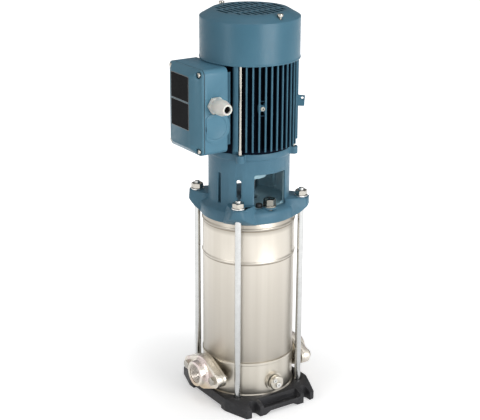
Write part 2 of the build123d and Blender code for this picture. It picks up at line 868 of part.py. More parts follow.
# Lantern bracket: flange with four ears, windowed barrel and bearing hub
corner_azimuths = (-135, -45, 45, 135)
ear_base = head_top - skirt_drop
window_low = floor_top
ear_spread = (nut_seat - ear_base) * math.tan(math.radians(ear_draft))
with BuildPart() as lantern_bracket:
    for azimuth in corner_azimuths:
        with BuildSketch(Plane.XY.offset(ear_base)):
            with Locations(compass(rod_circle, azimuth)):
                Circle(ear_radius + ear_spread)
            with Locations(compass(barrel_radius, azimuth)):
                Circle(ear_root + ear_spread)
            make_hull()
        extrude(amount=nut_seat - ear_base, taper=ear_draft)
    with BuildSketch(Plane.XZ):
        ear_reach = rod_circle + ear_radius
        Polygon(
            (0, ear_base),
            (skirt_outer - 1, ear_base),
            (ear_reach - 9, ear_base + 6.5),
            (ear_reach, ear_base + 15),
            (ear_reach, nut_seat),
            (0, nut_seat),
            align=None,
        )
    revolve(axis=Axis.Z, mode=Mode.INTERSECT)
    with BuildSketch(Plane.XZ):
        Polygon(
            (0, ear_base),
            (skirt_outer, ear_base),
            (skirt_outer + 0.2, ear_base + 13),
            (skirt_outer - 1.6, head_top + 5.5),
            (barrel_radius + barrel_rim, floor_top + 1),
            (barrel_radius, floor_top + 5),
            (barrel_radius, lantern_top - rim_height - barrel_rim),
            (barrel_radius + barrel_rim, lantern_top - rim_height),
            (barrel_radius + barrel_rim, lantern_top),
            (0, lantern_top),
            align=None,
        )
    revolve(axis=Axis.Z)
    with BuildSketch(Plane.XY.offset(lantern_top - lug_height)):
        for azimuth in corner_azimuths:
            with BuildSketch(Plane.XY.offset(lantern_top - lug_height), mode=Mode.PRIVATE) as lug:
                with Locations(compass(lug_circle, azimuth), compass(barrel_radius - lug_radius, azimuth)):
                    Circle(lug_radius)
                make_hull()
            add(lug.sketch)
    extrude(amount=lug_height)
    with BuildSketch(Plane.XZ):
        recess = frame_bore + fit_gap + 0.3
        Polygon(
            (0, ear_base),
            (jacket_radius + skirt_gap, ear_base),
            (jacket_radius + skirt_gap, head_top),
            (motor_shaft + 4, head_top),
            (motor_shaft + 4, floor_top),
            (barrel_bore, floor_top),
            (barrel_bore, plate_bottom),
            (bearing_hub + 0.5, plate_bottom),
            (bearing_hub, hub_bottom),
            (hub_shoulder, hub_bottom),
            (hub_shoulder, drive_bearing),
            (bearing_outer + fit_gap, drive_bearing),
            (bearing_outer + fit_gap, plate_bottom + top_plate),
            (recess, plate_bottom + top_plate),
            (recess, lantern_top),
            (0, lantern_top),
            align=None,
        )
    revolve(axis=Axis.Z, mode=Mode.SUBTRACT)
    for window_plane in (Plane.XZ.offset(window_reach), Plane.XZ.offset(-skirt_outer)):
        with BuildSketch(window_plane):
            with Locations((0, window_low + window_height / 2)):
                RectangleRounded(2 * window_half, window_height, window_corner)
        extrude(amount=skirt_outer - window_reach, mode=Mode.SUBTRACT)
    with BuildSketch(Plane.YZ):
        with Locations((-slit_offset, window_low + slit_lift + slit_height / 2)):
            Rectangle(slit_width, slit_height)
    extrude(amount=-skirt_outer, mode=Mode.SUBTRACT)
    with BuildSketch(Plane.YZ):
        with Locations((slit_offset, window_low + slit_lift + slit_height / 2)):
            Rectangle(slit_width, slit_height)
    extrude(amount=skirt_outer, mode=Mode.SUBTRACT)
    eyelet = Plane(
        origin=(0, 0, floor_top + eyelet_lift + eyelet_height / 2),
        x_dir=(*compass(1, eyelet_angle + 90), 0),
        z_dir=(*compass(1, eyelet_angle), 0),
    )
    with BuildSketch(eyelet.offset(barrel_bore - 4)):
        SlotOverall(eyelet_height, eyelet_width, rotation=90)
    extrude(amount=2 * barrel_wall, mode=Mode.SUBTRACT)
    with BuildSketch(Plane.XY.offset(floor_top)):
        with Locations(fill_place):
            Circle(fill_boss)
    extrude(amount=fill_boss_height)
    with Locations((fill_place[0], fill_place[1], floor_top + fill_boss_height)):
        Hole(fill_thread + fit_gap, depth=fill_thread_depth + fill_boss_height)
    with Locations((vent_place[0], vent_place[1], floor_top)):
        Hole(vent_stem + fit_gap, depth=vent_stem_depth)
    with Locations(*[(x, y, nut_seat) for x, y in rod_places]):
        Hole(rod_diameter / 2 + 2 * fit_gap, depth=nut_seat - ear_base)
    with Locations(*[(*compass(lug_circle, a), lantern_top) for a in corner_azimuths]):
        Hole(tie_bolt / 2 + fit_gap, depth=lug_height)
save(lantern_bracket, "lantern_bracket")

# Fill plug and vent cap
with BuildPart() as fill_plug:
    with BuildSketch(Plane.XY.offset(floor_top + fill_boss_height - fill_thread_depth)):
        with Locations(fill_place):
            Circle(fill_thread)
    extrude(amount=fill_thread_depth)
    with BuildSketch(Plane.XY.offset(floor_top + fill_boss_height)):
        with Locations(fill_place):
            Circle(fill_collar)
    extrude(amount=fill_collar_height)
    with BuildSketch(Plane.XY.offset(floor_top + fill_boss_height + fill_collar_height)):
        with Locations(fill_place):
            RegularPolygon(fill_flats / 2, 6, major_radius=False)
    extrude(amount=fill_height)
    chamfer(fill_plug.faces().sort_by(Axis.Z)[-1].edges(), 0.8)
save(fill_plug, "fill_plug")

with BuildPart() as vent_cap:
    with BuildSketch(Plane.XY.offset(floor_top - vent_stem_depth)):
        with Locations(vent_place):
            Circle(vent_stem)
    extrude(amount=vent_stem_depth)
    with BuildSketch(Plane.XY.offset(floor_top)):
        with Locations(vent_place):
            Circle(vent_radius)
    extrude(amount=vent_height)
    fillet(vent_cap.faces().sort_by(Axis.Z)[-1].edges(), 1.5)
save(vent_cap, "vent_cap")

# Motor frame: finned shell on the lantern
frame_spigot = motor_recess - 1.0
with BuildPart() as motor_frame:
    with BuildSketch(Plane.XZ):
        spigot_wall_motor = frame_bore - 3.0
        Polygon(
            (spigot_wall_motor, frame_bottom - frame_spigot),
            (frame_bore + 0.3, frame_bottom - frame_spigot),
            (frame_bore + 0.3, frame_bottom),
            (frame_root, frame_bottom),
            (frame_root, frame_top),
            (frame_bore, frame_top),
            (frame_bore, frame_bottom + 4),
            (spigot_wall_motor, frame_bottom + 4),
            align=None,
        )
    revolve(axis=Axis.Z)
    fin_angles = [a * fin_pitch for a in range(-24, 24)]
    fin_angles = [a for a in fin_angles if abs(a + 90) > box_zone and abs(a) % 90 != 45]
    fin_angles = [a for a in fin_angles if a != lifting_angle]
    with BuildSketch(Plane.XY.offset(frame_bottom + fin_start)):
        for azimuth in fin_angles:
            with Locations(Location((0, 0, 0), (0, 0, azimuth - 90))):
                Polygon(
                    (frame_root - 0.6, -fin_root_thickness / 2),
                    (fin_tip, -fin_tip_thickness / 2),
                    (fin_tip, fin_tip_thickness / 2),
                    (frame_root - 0.6, fin_root_thickness / 2),
                    align=None,
                )
        for azimuth in (-90 - rib_offset, -90 + rib_offset):
            rib_centre = compass((frame_root + rib_tip) / 2, azimuth)
            with Locations(Location((*rib_centre, 0), (0, 0, azimuth - 90))):
                Rectangle(rib_tip - frame_root + 1, rib_width)
    extrude(amount=frame_height - fin_start - fin_end)
    with BuildSketch(Plane.XY.offset(box_middle - pad_height / 2)):
        pad_depth = pad_face - frame_bore
        with Locations((-pad_face + pad_depth / 2, 0)):
            Rectangle(pad_depth, pad_width)
    extrude(amount=pad_height)
    earth_centre = compass((frame_root + earth_out) / 2, earth_angle)
    rungs = ((0, earth_size[1]), (-earth_rung_place, earth_rung), (earth_rung_place, earth_rung))
    for offset, thickness in rungs:
        with BuildSketch(Plane.XY.offset(frame_bottom + earth_height + offset - thickness / 2)):
            with Locations(Location((*earth_centre, 0), (0, 0, earth_angle - 90))):
                Rectangle(earth_out - frame_root + 1, earth_size[0])
        extrude(amount=thickness)
    lifting_plane = Plane(
        origin=(*compass(0, 0), frame_bottom + lifting_height),
        x_dir=(*compass(1, lifting_angle), 0),
        z_dir=(*compass(1, lifting_angle - 90), 0),
    )
    with BuildSketch(lifting_plane):
        Polygon(
            (frame_root - lifting_slant, -lifting_size / 2),
            (lifting_out - 1, -lifting_size / 2),
            (lifting_out, lifting_size / 2 - lifting_slant),
            (frame_root - lifting_slant, lifting_size / 2),
            align=None,
        )
        with Locations(lifting_hole_place):
            Circle(lifting_hole, mode=Mode.SUBTRACT)
    extrude(amount=lifting_thickness / 2, both=True)
    with BuildSketch(Plane.XY.offset(frame_bottom + 4)):
        Circle(frame_bore)
    extrude(amount=frame_height - 4, mode=Mode.SUBTRACT)
save(motor_frame, "motor_frame")

# Stator core and end windings
with BuildPart() as stator_core:
    with BuildSketch(Plane.XY.offset(core_bottom)):
        Circle(frame_bore - fit_gap)
        Circle(rotor_radius + air_gap, mode=Mode.SUBTRACT)
    extrude(amount=core_length)
save(stator_core, "stator_core")

with BuildPart() as end_windings:
    with BuildSketch(Plane.XZ):
        width = winding_outer - winding_inner
        centre = (winding_outer + winding_inner) / 2
        with Locations((centre, core_bottom - winding_length / 2), (centre, core_top + winding_length / 2)):
            Rectangle(width, winding_length)
    revolve(axis=Axis.Z)
save(end_windings, "end_windings")

# Motor shaft, socketed onto the pump shaft and held by two screws
with BuildPart() as motor_shaft_piece:
    with BuildSketch(Plane.XZ):
        fan_end = shield_top + fan_lift + fan_hub_height
        Polygon(
            (pump_shaft + shaft_gap, shaft_socket),
            (motor_shaft, shaft_socket),
            (motor_shaft, frame_bottom + journal_lift - 14),
            (rotor_bore, frame_bottom + journal_lift - 14),
            (rotor_bore, fan_bearing - 6),
            (motor_shaft, fan_bearing - 6),
            (motor_shaft, fan_end),
            (0, fan_end),
            (0, hub_bottom),
            (pump_shaft + shaft_gap, hub_bottom),
            align=None,
        )
    revolve(axis=Axis.Z)
    with BuildSketch(Plane.XZ):
        with Locations((0, shaft_socket + socket_screw_lift)):
            Circle(socket_screw + shaft_gap)
    extrude(amount=2 * motor_shaft, both=True, mode=Mode.SUBTRACT)
save(motor_shaft_piece, "motor_shaft")

with BuildPart() as coupling_screws:
    for side in (-1, 1):
        screw_height = shaft_socket + socket_screw_lift
        screw_plane = Plane(origin=(0, side * pump_shaft, screw_height), x_dir=(1, 0, 0), z_dir=(0, side, 0))
        with BuildSketch(screw_plane):
            Circle(socket_screw)
        extrude(amount=motor_shaft - pump_shaft + socket_screw)
save(coupling_screws, "coupling_screws")

with BuildPart() as rotor_core:
    with BuildSketch(Plane.XY.offset(core_bottom)):
        Circle(rotor_radius)
        Circle(rotor_bore + shaft_gap, mode=Mode.SUBTRACT)
    extrude(amount=core_length)
save(rotor_core, "rotor_core")

# Ball bearings: outer rings, inner rings and balls
bearing_bases = (drive_bearing, fan_bearing)
ball_circle = (bearing_outer - race + motor_shaft + shaft_gap + race) / 2
with BuildPart() as bearing_outer_rings:
    for base in bearing_bases:
        with BuildSketch(Plane.XY.offset(base)):
            Circle(bearing_outer)
            Circle(bearing_outer - race, mode=Mode.SUBTRACT)
        extrude(amount=bearing_width)
save(bearing_outer_rings, "bearing_outer_rings")

with BuildPart() as bearing_inner_rings:
    for base in bearing_bases:
        with BuildSketch(Plane.XY.offset(base)):
            Circle(motor_shaft + shaft_gap + race)
            Circle(motor_shaft + shaft_gap, mode=Mode.SUBTRACT)
        extrude(amount=bearing_width)
save(bearing_inner_rings, "bearing_inner_rings")

with BuildPart() as bearing_balls:
    for base in bearing_bases:
        with Locations((0, 0, base + bearing_width / 2)):
            with PolarLocations(ball_circle, ball_count):
                Sphere(ball_radius)
save(bearing_balls, "bearing_balls")

# Fan-side shield
shield_hub_bottom = fan_bearing - 2
with BuildPart() as fan_end_shield:
    with BuildSketch(Plane.XZ):
        Polygon(
            (hub_shoulder, shield_top),
            (shield_radius, shield_top),
            (shield_radius, frame_top),
            (frame_bore - fit_gap, frame_top),
            (frame_bore - fit_gap, frame_top - shield_spigot),
            (frame_bore - 5, frame_top - shield_spigot),
            (frame_bore - 5, frame_top),
            (shield_hub, frame_top),
            (shield_hub, shield_hub_bottom),
            (bearing_outer + fit_gap, shield_hub_bottom),
            (bearing_outer + fit_gap, frame_top + spring_thickness),
            (hub_shoulder, frame_top + spring_thickness),
            align=None,
        )
    revolve(axis=Axis.Z)
    with Locations(*[(*compass(lug_circle, a), shield_top) for a in corner_azimuths]):
        Hole(tie_bolt / 2 + fit_gap, depth=shield_thickness)
save(fan_end_shield, "fan_end_shield")

with BuildPart() as wave_spring:
    with BuildSketch(Plane.XY.offset(frame_top)):
        Circle(bearing_outer - 0.5)
        Circle(bearing_outer - race, mode=Mode.SUBTRACT)
    extrude(amount=spring_thickness)
save(wave_spring, "wave_spring")

# Long bolts that clamp shield, frame and lantern
tie_bolt_bottom = lantern_top - lug_height + lug_floor
with BuildPart() as motor_tie_bolts:
    with BuildSketch(Plane.XY.offset(tie_bolt_bottom)):
        with Locations(*[compass(lug_circle, a) for a in corner_azimuths]):
            Circle(tie_bolt / 2)
    extrude(amount=shield_top - tie_bolt_bottom)
    with BuildSketch(Plane.XY.offset(shield_top)):
        with Locations(*[compass(lug_circle, a) for a in corner_azimuths]):
            Circle(tie_head_flats / 2)
    extrude(amount=tie_head)
save(motor_tie_bolts, "motor_tie_bolts")

# Fan on the motor shaft
fan_base = shield_top + fan_lift
with BuildPart() as fan:
    with BuildSketch(Plane.XY.offset(fan_base)):
        Circle(fan_hub)
    extrude(amount=fan_hub_height)
    with BuildSketch(Plane.XY.offset(fan_base)):
        Circle(fan_disc)
    extrude(amount=fan_plate)
    with BuildSketch(Plane.XY.offset(fan_base)):
        with PolarLocations((fan_hub + fan_radius) / 2, fan_blades):
            Rectangle(fan_radius - fan_hub + 2, fan_blade_thickness)
    extrude(amount=fan_blade)
    with BuildSketch(Plane.XY.offset(fan_base)):
        Circle(motor_shaft + shaft_gap)
    extrude(amount=fan_hub_height, mode=Mode.SUBTRACT)
save(fan, "fan")

# Fan cover: pressed cap with a slotted grille
screw_places = [compass(cover_screw_circle, a) for a in (cover_screw_angle, cover_screw_angle + 180)]
cover_slope = (cover_radius - cover_top_radius) / cover_rise
with BuildPart() as fan_cover:
    with BuildSketch(Plane.XZ):
        inner_radius = cover_radius - cover_wall
        Polygon(
            (inner_radius, cover_bottom),
            (cover_radius + cover_lip, cover_bottom),
            (cover_radius + cover_lip, cover_bottom + 2),
            (cover_radius, cover_bottom + 3),
            (cover_radius, cover_shoulder),
            (cover_top_radius, cover_top),
            (0, cover_top),
            (0, cover_top - cover_wall),
            (cover_top_radius - 0.4, cover_top - cover_wall),
            (inner_radius, cover_shoulder - 0.8),
            align=None,
        )
    revolve(axis=Axis.Z)
    slot_rows = int(grille_radius / grille_pitch)
    with BuildSketch(Plane.XY.offset(cover_top - cover_wall)):
        for row in range(-slot_rows, slot_rows + 1):
            chord = math.sqrt(grille_radius**2 - (row * grille_pitch) ** 2) - grille_slot / 2
            if chord > grille_bar_place:
                reach = chord - grille_bar_place - grille_bar / 2
                for side in (-1, 1):
                    with Locations((row * grille_pitch, side * (chord - reach / 2))):
                        Rectangle(grille_slot, reach)
            middle = min(chord, grille_bar_place - grille_bar / 2)
            with Locations((row * grille_pitch, 0)):
                Rectangle(grille_slot, 2 * middle)
    extrude(amount=cover_wall, mode=Mode.SUBTRACT)
    with BuildSketch(Plane.XY.offset(shield_top)):
        with Locations(*screw_places):
            Circle(cover_screw + fit_gap)
    extrude(amount=cover_top - shield_top, mode=Mode.SUBTRACT)
save(fan_cover, "fan_cover")

# Two long screws hold the cover to posts on the shield
screw_seat = cover_top - (cover_screw_circle - cover_screw_head - cover_top_radius) / cover_slope
with BuildPart() as cover_screws:
    with BuildSketch(Plane.XY.offset(shield_top)):
        with Locations(*screw_places):
            Circle(cover_screw)
    extrude(amount=screw_seat - shield_top)
    with BuildSketch(Plane.XY.offset(screw_seat)):
        with Locations(*screw_places):
            Circle(cover_screw_head)
    extrude(amount=cover_screw_head_height)
save(cover_screws, "cover_screws")

# Terminal box body
with BuildPart() as terminal_box:
    with BuildSketch(box_plane(box_back)):
        RectangleRounded(box_width, box_height, box_corner)
    extrude(amount=box_depth)
    with BuildSketch(side_plane(knockout_place, box_width / 2 - knockout_depth)):
        Circle(knockout_boss)
        left_edge = -box_front + lid_edge - knockout_place[0]
        with Locations((left_edge + knockout_boss, 0)):
            Rectangle(2 * knockout_boss, 2 * knockout_boss, mode=Mode.INTERSECT)
    extrude(amount=knockout_depth + knockout_proud)
    with BuildSketch(side_plane(knockout_place, box_width / 2 + knockout_proud)):
        Circle(knockout_recess)
    extrude(amount=-1.0, mode=Mode.SUBTRACT)
    with BuildSketch(box_plane(box_back + box_wall)):
        RectangleRounded(box_width - 2 * box_wall, box_height - 2 * box_wall, box_corner - box_wall)
    extrude(amount=box_depth, mode=Mode.SUBTRACT)
    corner_y = box_width / 2 - lid_screw_inset
    corner_z = box_height / 2 - lid_screw_inset
    corners = [(y * corner_y, z * corner_z) for y in (-1, 1) for z in (-1, 1)]
    with BuildSketch(box_plane(box_back + box_wall)):
        with Locations(*corners):
            Circle(lid_screw_inset - 1)
    extrude(amount=box_depth - box_wall)
    with BuildSketch(box_plane(box_back + box_wall)):
        with Locations(*corners):
            Circle(lid_screw + fit_gap)
    extrude(amount=box_depth - box_wall, mode=Mode.SUBTRACT)
    with BuildSketch(side_plane(gland_place, box_width / 2 - box_wall - 1)):
        Circle(gland_thread + fit_gap)
    extrude(amount=box_wall + 1 + knockout_proud, mode=Mode.SUBTRACT)
    with BuildSketch(side_plane(gland_place, box_width / 2)):
        Circle(gland_flats / 2 / math.cos(math.radians(30)) + fit_gap)
    extrude(amount=knockout_proud, mode=Mode.SUBTRACT)
save(terminal_box, "terminal_box")

# Gasket, lid and lid screws
with BuildPart() as lid_gasket_piece:
    with BuildSketch(box_plane(box_front)):
        RectangleRounded(box_width - lid_gasket, box_height - lid_gasket, box_corner)
        gasket_width = box_width - 2 * box_wall
        gasket_height = box_height - 2 * box_wall
        RectangleRounded(gasket_width, gasket_height, box_corner - box_wall, mode=Mode.SUBTRACT)
    extrude(amount=lid_gasket)
save(lid_gasket_piece, "lid_gasket")

with BuildPart() as terminal_lid:
    with BuildSketch(box_plane(lid_back)):
        RectangleRounded(box_width, box_height, box_corner)
    extrude(amount=lid_rim)
    with BuildSketch(box_plane(lid_shoulder)):
        RectangleRounded(box_width, box_height, box_corner)
    with BuildSketch(box_plane(lid_front)):
        RectangleRounded(panel_width, panel_height, box_corner)
    loft()
    with BuildSketch(box_plane(lid_back)):
        RectangleRounded(box_width - 6 * box_wall, box_height - 6 * box_wall, box_corner / 2)
    extrude(amount=lid_rim, mode=Mode.SUBTRACT)
    with BuildSketch(box_plane(lid_back + lid_rim)):
        with Locations(*corners):
            Circle(lid_pocket)
    extrude(amount=lid_rise, mode=Mode.SUBTRACT)
    with BuildSketch(box_plane(lid_back)):
        with Locations(*corners):
            Circle(lid_screw + fit_gap)
    extrude(amount=lid_rim, mode=Mode.SUBTRACT)
save(terminal_lid, "terminal_lid")

with BuildPart() as lid_screws:
    with BuildSketch(box_plane(lid_shoulder)):
        with Locations(*corners):
            Circle(lid_screw_head)
    extrude(amount=lid_screw_head_height)
    with BuildSketch(box_plane(box_back + box_wall)):
        with Locations(*corners):
            Circle(lid_screw)
    extrude(amount=lid_shoulder - box_back - box_wall)
save(lid_screws, "lid_screws")

# Cable gland: hexagon body in the wall and a domed nut
gland_seat = box_width / 2
with BuildPart() as gland_body:
    with BuildSketch(side_plane(gland_place, gland_seat)):
        RegularPolygon(gland_flats / 2, 6, major_radius=False)
    extrude(amount=gland_flange)
    with BuildSketch(side_plane(gland_place, gland_seat - box_wall - 4)):
        Circle(gland_thread)
    extrude(amount=box_wall + 4)
    with BuildSketch(side_plane(gland_place, gland_seat - box_wall - 4)):
        Circle(gland_bore + 1)
    extrude(amount=gland_flange + box_wall + 4, mode=Mode.SUBTRACT)
save(gland_body, "gland_body")

gland_nut_back = gland_seat + gland_flange
with BuildPart() as gland_nut:
    with BuildSketch(side_plane(gland_place, gland_nut_back)):
        Circle(gland_nut_radius)
    extrude(amount=gland_nut_length)
    with BuildSketch(side_plane(gland_place, gland_nut_back + gland_nut_length)):
        Circle(gland_nut_radius)
    with BuildSketch(side_plane(gland_place, gland_nut_back + gland_nut_length + gland_dome)):
        Circle(gland_mouth)
    loft()
    with BuildSketch(side_plane(gland_place, gland_nut_back)):
        Circle(gland_bore)
    extrude(amount=gland_nut_length + gland_dome, mode=Mode.SUBTRACT)
save(gland_nut, "gland_nut")

# Terminal board with its studs, on the back wall of the box
with BuildPart() as terminal_board:
    with BuildSketch(box_plane(box_back + box_wall)):
        Rectangle(board_size[1], board_size[2])
    extrude(amount=board_size[0])
    with BuildSketch(box_plane(box_back + box_wall + board_size[0])):
        with GridLocations(board_size[1] / 3, board_size[2] / 2, 3, 2):
            Circle(stud_radius)
    extrude(amount=board_size[0])
save(terminal_board, "terminal_board")

# Earthing screw on the frame boss
with BuildPart() as earth_screw:
    earth_plane = Plane(
        origin=(*compass(earth_out + 0.5, earth_angle), frame_bottom + earth_height),
        x_dir=(0, 0, 1),
        z_dir=(*compass(1, earth_angle), 0),
    )
    with BuildSketch(earth_plane):
        Circle(earth_screw_radius)
    extrude(amount=earth_head)
    with BuildSketch(earth_plane.offset(earth_head - earth_socket_depth)):
        RegularPolygon(earth_socket / 2, 6, major_radius=False)
    extrude(amount=earth_socket_depth, mode=Mode.SUBTRACT)
save(earth_screw, "earth_screw")
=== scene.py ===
# %% [markdown]
# # A vertical multistage pump
# The pump stands on a cast foot. Water enters through the oval flange on the left, climbs
# through six stages inside a stainless jacket and leaves on the right. Four tie rods clamp
# the jacket between the foot and a painted lantern, and a finned electric motor sits on top.
# The solids already have their true shapes and places. This lesson dresses them: rounded
# edges, real threads, chamfered nuts, bare rating plates, and finishes for every surface.

# %% Load the solids
import json
import math

import bmesh
import bpy
from mathutils import Matrix, Vector


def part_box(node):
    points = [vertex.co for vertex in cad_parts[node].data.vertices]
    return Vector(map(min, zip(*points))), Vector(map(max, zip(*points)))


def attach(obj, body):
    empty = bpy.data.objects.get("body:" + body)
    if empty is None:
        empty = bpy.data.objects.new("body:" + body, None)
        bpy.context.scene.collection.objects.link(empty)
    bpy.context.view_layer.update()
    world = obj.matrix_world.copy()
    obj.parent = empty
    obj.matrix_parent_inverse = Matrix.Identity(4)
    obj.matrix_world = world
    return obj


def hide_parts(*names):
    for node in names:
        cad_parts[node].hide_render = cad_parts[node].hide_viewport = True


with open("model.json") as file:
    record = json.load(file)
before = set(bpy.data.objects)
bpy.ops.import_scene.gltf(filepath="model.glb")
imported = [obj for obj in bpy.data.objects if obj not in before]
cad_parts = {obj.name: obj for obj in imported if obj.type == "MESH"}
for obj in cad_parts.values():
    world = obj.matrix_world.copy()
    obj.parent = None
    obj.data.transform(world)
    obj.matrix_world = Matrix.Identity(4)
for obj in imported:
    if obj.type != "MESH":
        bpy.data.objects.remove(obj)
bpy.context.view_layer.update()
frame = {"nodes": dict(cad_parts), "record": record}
nodes = frame["nodes"]

# %% [markdown]
# ## Camera
# The photograph was taken with a long lens from the front left and from above the pump. The
# camera's place and its three directions were worked out from the circles and the rods, so
# they are written as vectors instead of angles.

# %% Place the camera
FOCAL_LENGTH, SENSOR_WIDTH = 96.28, 36.0
CAMERA_AT = (-1.08516, -1.603015, 0.989106)
camera_right = Vector((0.832953, -0.553326, 0.004498))
camera_up = Vector((0.179103, 0.277287, 0.943946))
camera_back = camera_right.cross(camera_up)
camera_data = bpy.data.cameras.new("photo_camera")
camera_data.lens = FOCAL_LENGTH
camera_data.sensor_width = SENSOR_WIDTH
camera = bpy.data.objects.new("photo_camera", camera_data)
camera.matrix_world = Matrix.Translation(CAMERA_AT) @ Matrix(
    (camera_right, camera_up, camera_back)
).transposed().to_4x4()
bpy.context.scene.collection.objects.link(camera)
bpy.context.scene.camera = camera
print("camera height:", round(camera.location.z, 3))

# %% [markdown]
# ## Light
# The photograph has a white background and soft shadows. Here the world gives an even light,
# and three large soft lamps add a direction, most of it from the front right. Rays that see
# the world directly, or through something clear, meet white. Rays that are mirrored by metal
# or paint meet a pale studio, brightest on the camera's side and darker behind the pump.


# %% Soft lamps
def soft_lamp(name, place, target, size, power):
    """Square lamp at a place, turned towards a target."""
    data = bpy.data.lights.new(name, "AREA")
    data.shape = "RECTANGLE"
    data.size, data.size_y = size
    data.energy = power
    lamp = bpy.data.objects.new(name, data)
    direction = Vector(target) - Vector(place)
    lamp.rotation_mode = "QUATERNION"
    lamp.rotation_quaternion = direction.to_track_quat("-Z", "Y")
    lamp.location = place
    bpy.context.scene.collection.objects.link(lamp)


MIDDLE = (0.0, 0.0, 0.36)
soft_lamp("front_right_box", (0.50, -2.7, 0.85), MIDDLE, (1.7, 1.3), 50.0)
soft_lamp("left_box", (-2.6, -0.3, 1.0), MIDDLE, (0.6, 1.8), 13.0)
soft_lamp("top_box", (0.0, -0.3, 2.9), MIDDLE, (1.6, 1.6), 13.0)


# %% Nodes that the world and the floor share
def any_ray(tree, *kinds):
    """1 for a ray of any of these kinds, as the Light Path node names them, otherwise 0."""
    path = tree.nodes.new("ShaderNodeLightPath")
    found = path.outputs[kinds[0]]
    for kind in kinds[1:]:
        either = tree.nodes.new("ShaderNodeMath")
        either.operation = "MAXIMUM"
        tree.links.new(found, either.inputs[0])
        tree.links.new(path.outputs[kind], either.inputs[1])
        found = either.outputs[0]
    return found


def background(tree, colour, strength=1.0):
    """Light of one colour from all round."""
    made = tree.nodes.new("ShaderNodeBackground")
    made.inputs["Color"].default_value = colour
    made.inputs["Strength"].default_value = strength
    return made


def mixed(tree, share, first, second):
    """Two shaders, with a pattern for the share of the second."""
    mix = tree.nodes.new("ShaderNodeMixShader")
    tree.links.new(share, mix.inputs["Fac"])
    tree.links.new(first, mix.inputs[1])
    tree.links.new(second, mix.inputs[2])
    return mix.outputs[0]


# %% Pale studio world
WHITE = (1.0, 1.0, 1.0, 1.0)
EVEN_COLOUR, EVEN_STRENGTH = (0.97, 0.985, 1.0, 1.0), 0.28
BRIGHT_SIDE = (-0.72, -0.69, 0.0)
WALLS = ((0.06, (0.22, 0.22, 0.22, 1.0)), (0.46, (0.93, 0.925, 0.91, 1.0)))
world = bpy.data.worlds.new("studio")
bpy.context.scene.world = world
world.use_nodes = True
tree = world.node_tree
tree.nodes.clear()
direction = tree.nodes.new("ShaderNodeTexCoord")
side = tree.nodes.new("ShaderNodeVectorMath")
side.operation = "DOT_PRODUCT"
side.inputs[1].default_value = BRIGHT_SIDE
tree.links.new(direction.outputs["Generated"], side.inputs[0])
shift = tree.nodes.new("ShaderNodeMath")
shift.operation = "MULTIPLY_ADD"
shift.inputs[1].default_value = 0.5
shift.inputs[2].default_value = 0.5
tree.links.new(side.outputs["Value"], shift.inputs[0])
studio = tree.nodes.new("ShaderNodeValToRGB")
for stop, (position, colour) in zip(studio.color_ramp.elements, WALLS):
    stop.position = position
    stop.color = colour
tree.links.new(shift.outputs[0], studio.inputs["Fac"])
even = background(tree, EVEN_COLOUR, EVEN_STRENGTH)
walls = background(tree, WHITE)
white = background(tree, WHITE)
tree.links.new(studio.outputs["Color"], walls.inputs["Color"])
mirrored = mixed(tree, any_ray(tree, "Is Glossy Ray"), even.outputs[0], walls.outputs[0])
clear_ray = any_ray(tree, "Is Camera Ray", "Is Transmission Ray")
output = tree.nodes.new("ShaderNodeOutputWorld")
tree.links.new(mixed(tree, clear_ray, mirrored, white.outputs[0]), output.inputs["Surface"])
bpy.context.scene.view_settings.view_transform = "Standard"
print("world nodes:", len(tree.nodes))

# %% [markdown]
# ## Floor
# A white table that runs out of view on every side. It is matt and keeps the soft shadow of
# the foot. Seen directly, in a mirror or through something clear it also glows, less under
# the pump and up to full white further away, so the background comes out white.

# %% White table
TABLE_RADIUS, TABLE_WHITE = 14.0, (0.86, 0.86, 0.86, 1.0)
GLOW_START, GLOW_END = 0.10, 0.55
GLOW_UNDER_PUMP, GLOW_AROUND = 0.40, 1.0
mesh = bmesh.new()
bmesh.ops.create_circle(mesh, cap_ends=True, segments=64, radius=TABLE_RADIUS)
floor_mesh = bpy.data.meshes.new("table")
mesh.to_mesh(floor_mesh)
mesh.free()
floor = bpy.data.objects.new("table", floor_mesh)
bpy.context.scene.collection.objects.link(floor)
table_finish = bpy.data.materials.new("white_table")
table_finish.use_nodes = True
tree = table_finish.node_tree
shader = tree.nodes["Principled BSDF"]
shader.inputs["Base Color"].default_value = TABLE_WHITE
shader.inputs["Roughness"].default_value = 0.9
shader.inputs["Specular IOR Level"].default_value = 0.1
shader.inputs["Emission Color"].default_value = WHITE
spot = tree.nodes.new("ShaderNodeTexCoord")
from_middle = tree.nodes.new("ShaderNodeVectorMath")
from_middle.operation = "LENGTH"
tree.links.new(spot.outputs["Object"], from_middle.inputs[0])
fade = tree.nodes.new("ShaderNodeMapRange")
fade.inputs["From Min"].default_value = GLOW_START
fade.inputs["From Max"].default_value = GLOW_END
fade.inputs["To Min"].default_value = GLOW_UNDER_PUMP
fade.inputs["To Max"].default_value = GLOW_AROUND
tree.links.new(from_middle.outputs["Value"], fade.inputs["Value"])
glow = tree.nodes.new("ShaderNodeMath")
glow.operation = "MULTIPLY"
seen_ray = any_ray(tree, "Is Camera Ray", "Is Glossy Ray", "Is Transmission Ray")
tree.links.new(seen_ray, glow.inputs[0])
tree.links.new(fade.outputs[0], glow.inputs[1])
tree.links.new(glow.outputs[0], shader.inputs["Emission Strength"])
floor_mesh.materials.append(table_finish)
print("table radius:", TABLE_RADIUS)

# %% [markdown]
# ## Finishes
# A real surface is never one flat colour. Each finish starts from a Principled shader, and
# small noise patterns in object coordinates vary its colour, its gloss and its relief at the
# scale of a real surface: a few millimetres for paint over a casting, long streaks for rolled
# sheet, and fine grit for blasted metal.


